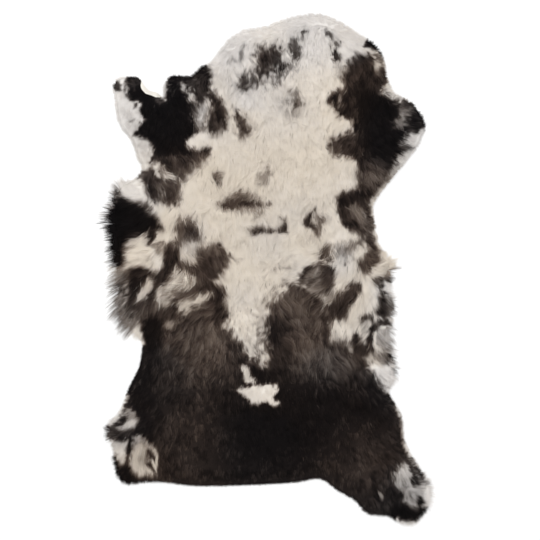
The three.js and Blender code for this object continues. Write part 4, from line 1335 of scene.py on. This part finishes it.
def wool_map(tone, warmth):
    """Each corner's place on the wool's map."""
    points = tone.shape[1]
    along = np.append(np.repeat(np.linspace(0, 1, points)[:-1], 2), 1)
    v = along * STRIP * 0.9 + 0.05 * STRIP + (np.floor(warmth * (ROWS - 0.01)) / ROWS)[:, None]
    across = np.array([-0.0015, 0.0015] * (points - 1) + [0])
    u = 0.01 + 0.98 * both_sides(tone) + across
    return np.stack([u, v], axis=2).reshape(-1, 2)


def soft_normals(vertices, ribbon):
    """Normals mostly of the fleece below, a little of the ribbons' own."""
    x, y = vertices[..., 0], vertices[..., 1]
    slopes = [-read(shade_x_map, x, y), -read(shade_y_map, x, y), np.ones(x.shape)]
    own = both_sides(ribbon * np.where(ribbon[..., 2:] < 0, -1, 1))
    return unit(SOFT_NORMAL * unit(np.stack(slopes, axis=2)) + (1 - SOFT_NORMAL) * own)


def ribbons(name, line, tone, warmth, width):
    """Tapering ribbons along the strands' middle lines."""
    count, points, _ = line.shape
    ahead = unit(np.gradient(line, axis=1))
    up = np.column_stack([chance.normal(0, 0.45, (count, 2)), np.ones(count)])
    side = unit(np.cross(ahead, up[:, None, :]))
    half = 0.5 * width[:, None] * np.array(TAPER[:points - 1])
    offset = side[:, :-1] * half[..., None]
    pairs = np.stack([line[:, :-1] - offset, line[:, :-1] + offset], axis=2)
    vertices = np.concatenate([pairs.reshape(count, -1, 3), line[:, -1:]], axis=1)
    each = vertices.shape[1]
    base = (np.arange(count) * each)[:, None]
    quads = [base + np.array([[2 * k, 2 * k + 1, 2 * k + 3, 2 * k + 2]]) for k in range(points - 2)]
    tips = base + np.array([[each - 3, each - 2, each - 1]])
    corners = vertices.reshape(-1, 3)
    made = piece(name, corners, [np.concatenate(quads), tips], WOOL, wool_map(tone, warmth))
    normals = soft_normals(vertices, np.cross(side, ahead))
    made.data.normals_split_custom_set_from_vertices(normals.reshape(-1, 3))
    return made


def fleece():
    """The strands all over the pelt, in four pieces from the neck to the tail."""
    x, y = scattered(STRAND_SPACING)
    keep = wool_depth(x, y) > 0
    x, y = x[keep], y[keep]
    line, tone, warmth = lay(x, y, STRAND_STEPS)
    width = STRAND_WIDTH * chance.uniform(0.75, 1.2, len(x))
    names = ("wool_neck", "wool_shoulders", "wool_loin", "wool_rump")
    parts = np.array_split(np.argsort(-y), len(names))
    return [ribbons(name, line[k], tone[k], warmth[k], width[k]) for name, k in zip(names, parts)]


def fringe():
    """Finer strands rooted just inside the rim, which stand past the skin's edge."""
    places = rim_curve(FRINGE_SPACING)
    x, y, reach, _ = places.T
    out_x = read(out_x_map, x, y)
    out_y = read(out_y_map, x, y)
    back = WOOL_STARTS + chance.uniform(0, 1, len(places)) * FRINGE_DEPTH
    x = x - out_x * back
    y = y - out_y * back
    keep = (reach > 3 * MM) & (wool_depth(x, y) > 0)
    line, tone, warmth = lay(x[keep], y[keep], FRINGE_STEPS, fringe=True)
    width = STRAND_WIDTH * chance.uniform(0.4, 0.75, keep.sum())
    return ribbons("wool_fringe", line, tone, warmth, width)


skin = hide()
dense = undercoat()
strands = fleece()
strands.append(fringe())


# What each piece is to the model

for obj in [skin, dense] + strands:
    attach(obj, "root")
    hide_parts("sheepskin")


# The floor, the light and the camera

def floor():
    corners = FLOOR_HALF * np.array([(-1, -1, 0), (1, -1, 0), (1, 1, 0), (-1, 1, 0)])
    shading = Shading("pale_floor")
    shading.set(shading.shader, {"Base Color": (0.9, 0.9, 0.9, 1), "Roughness": 0.9})
    plane = piece("floor", corners, [np.array([[0, 1, 2, 3]])], shading.material)


def light(name, place, size, power):
    data = bpy.data.lights.new(name, "AREA")
    data.shape = "DISK"
    data.size = size
    data.energy = power
    lamp = placed(name, data)
    lamp.location = place
    lamp.rotation_euler = (-Vector(place)).to_track_quat("-Z", "Y").to_euler()


def surroundings(strength):
    world = bpy.data.worlds.new("studio")
    world.use_nodes = True
    background = world.node_tree.nodes["Background"]
    background.inputs["Color"].default_value = (1, 1, 1, 1)
    background.inputs["Strength"].default_value = strength
    bpy.context.scene.world = world


def camera():
    """Straight above, at the photograph's scale."""
    data = bpy.data.cameras.new("camera")
    data.sensor_width = 36
    data.lens = data.sensor_width * CAMERA_HEIGHT / (PHOTO_PIXELS * PIXEL)
    data.clip_end = 50
    eye = placed("camera", data)
    eye.location = (*to_rug(PHOTO_PIXELS / 2, PHOTO_PIXELS / 2), CAMERA_HEIGHT)
    bpy.context.scene.camera = eye


floor()
light("key", (-1.1, 1.5, 2.2), 1.6, 34)
light("fill", (1.6, -0.8, 2.4), 1.6, 10)
surroundings(0.9)
camera()
bpy.context.scene.view_settings.view_transform = "Standard"
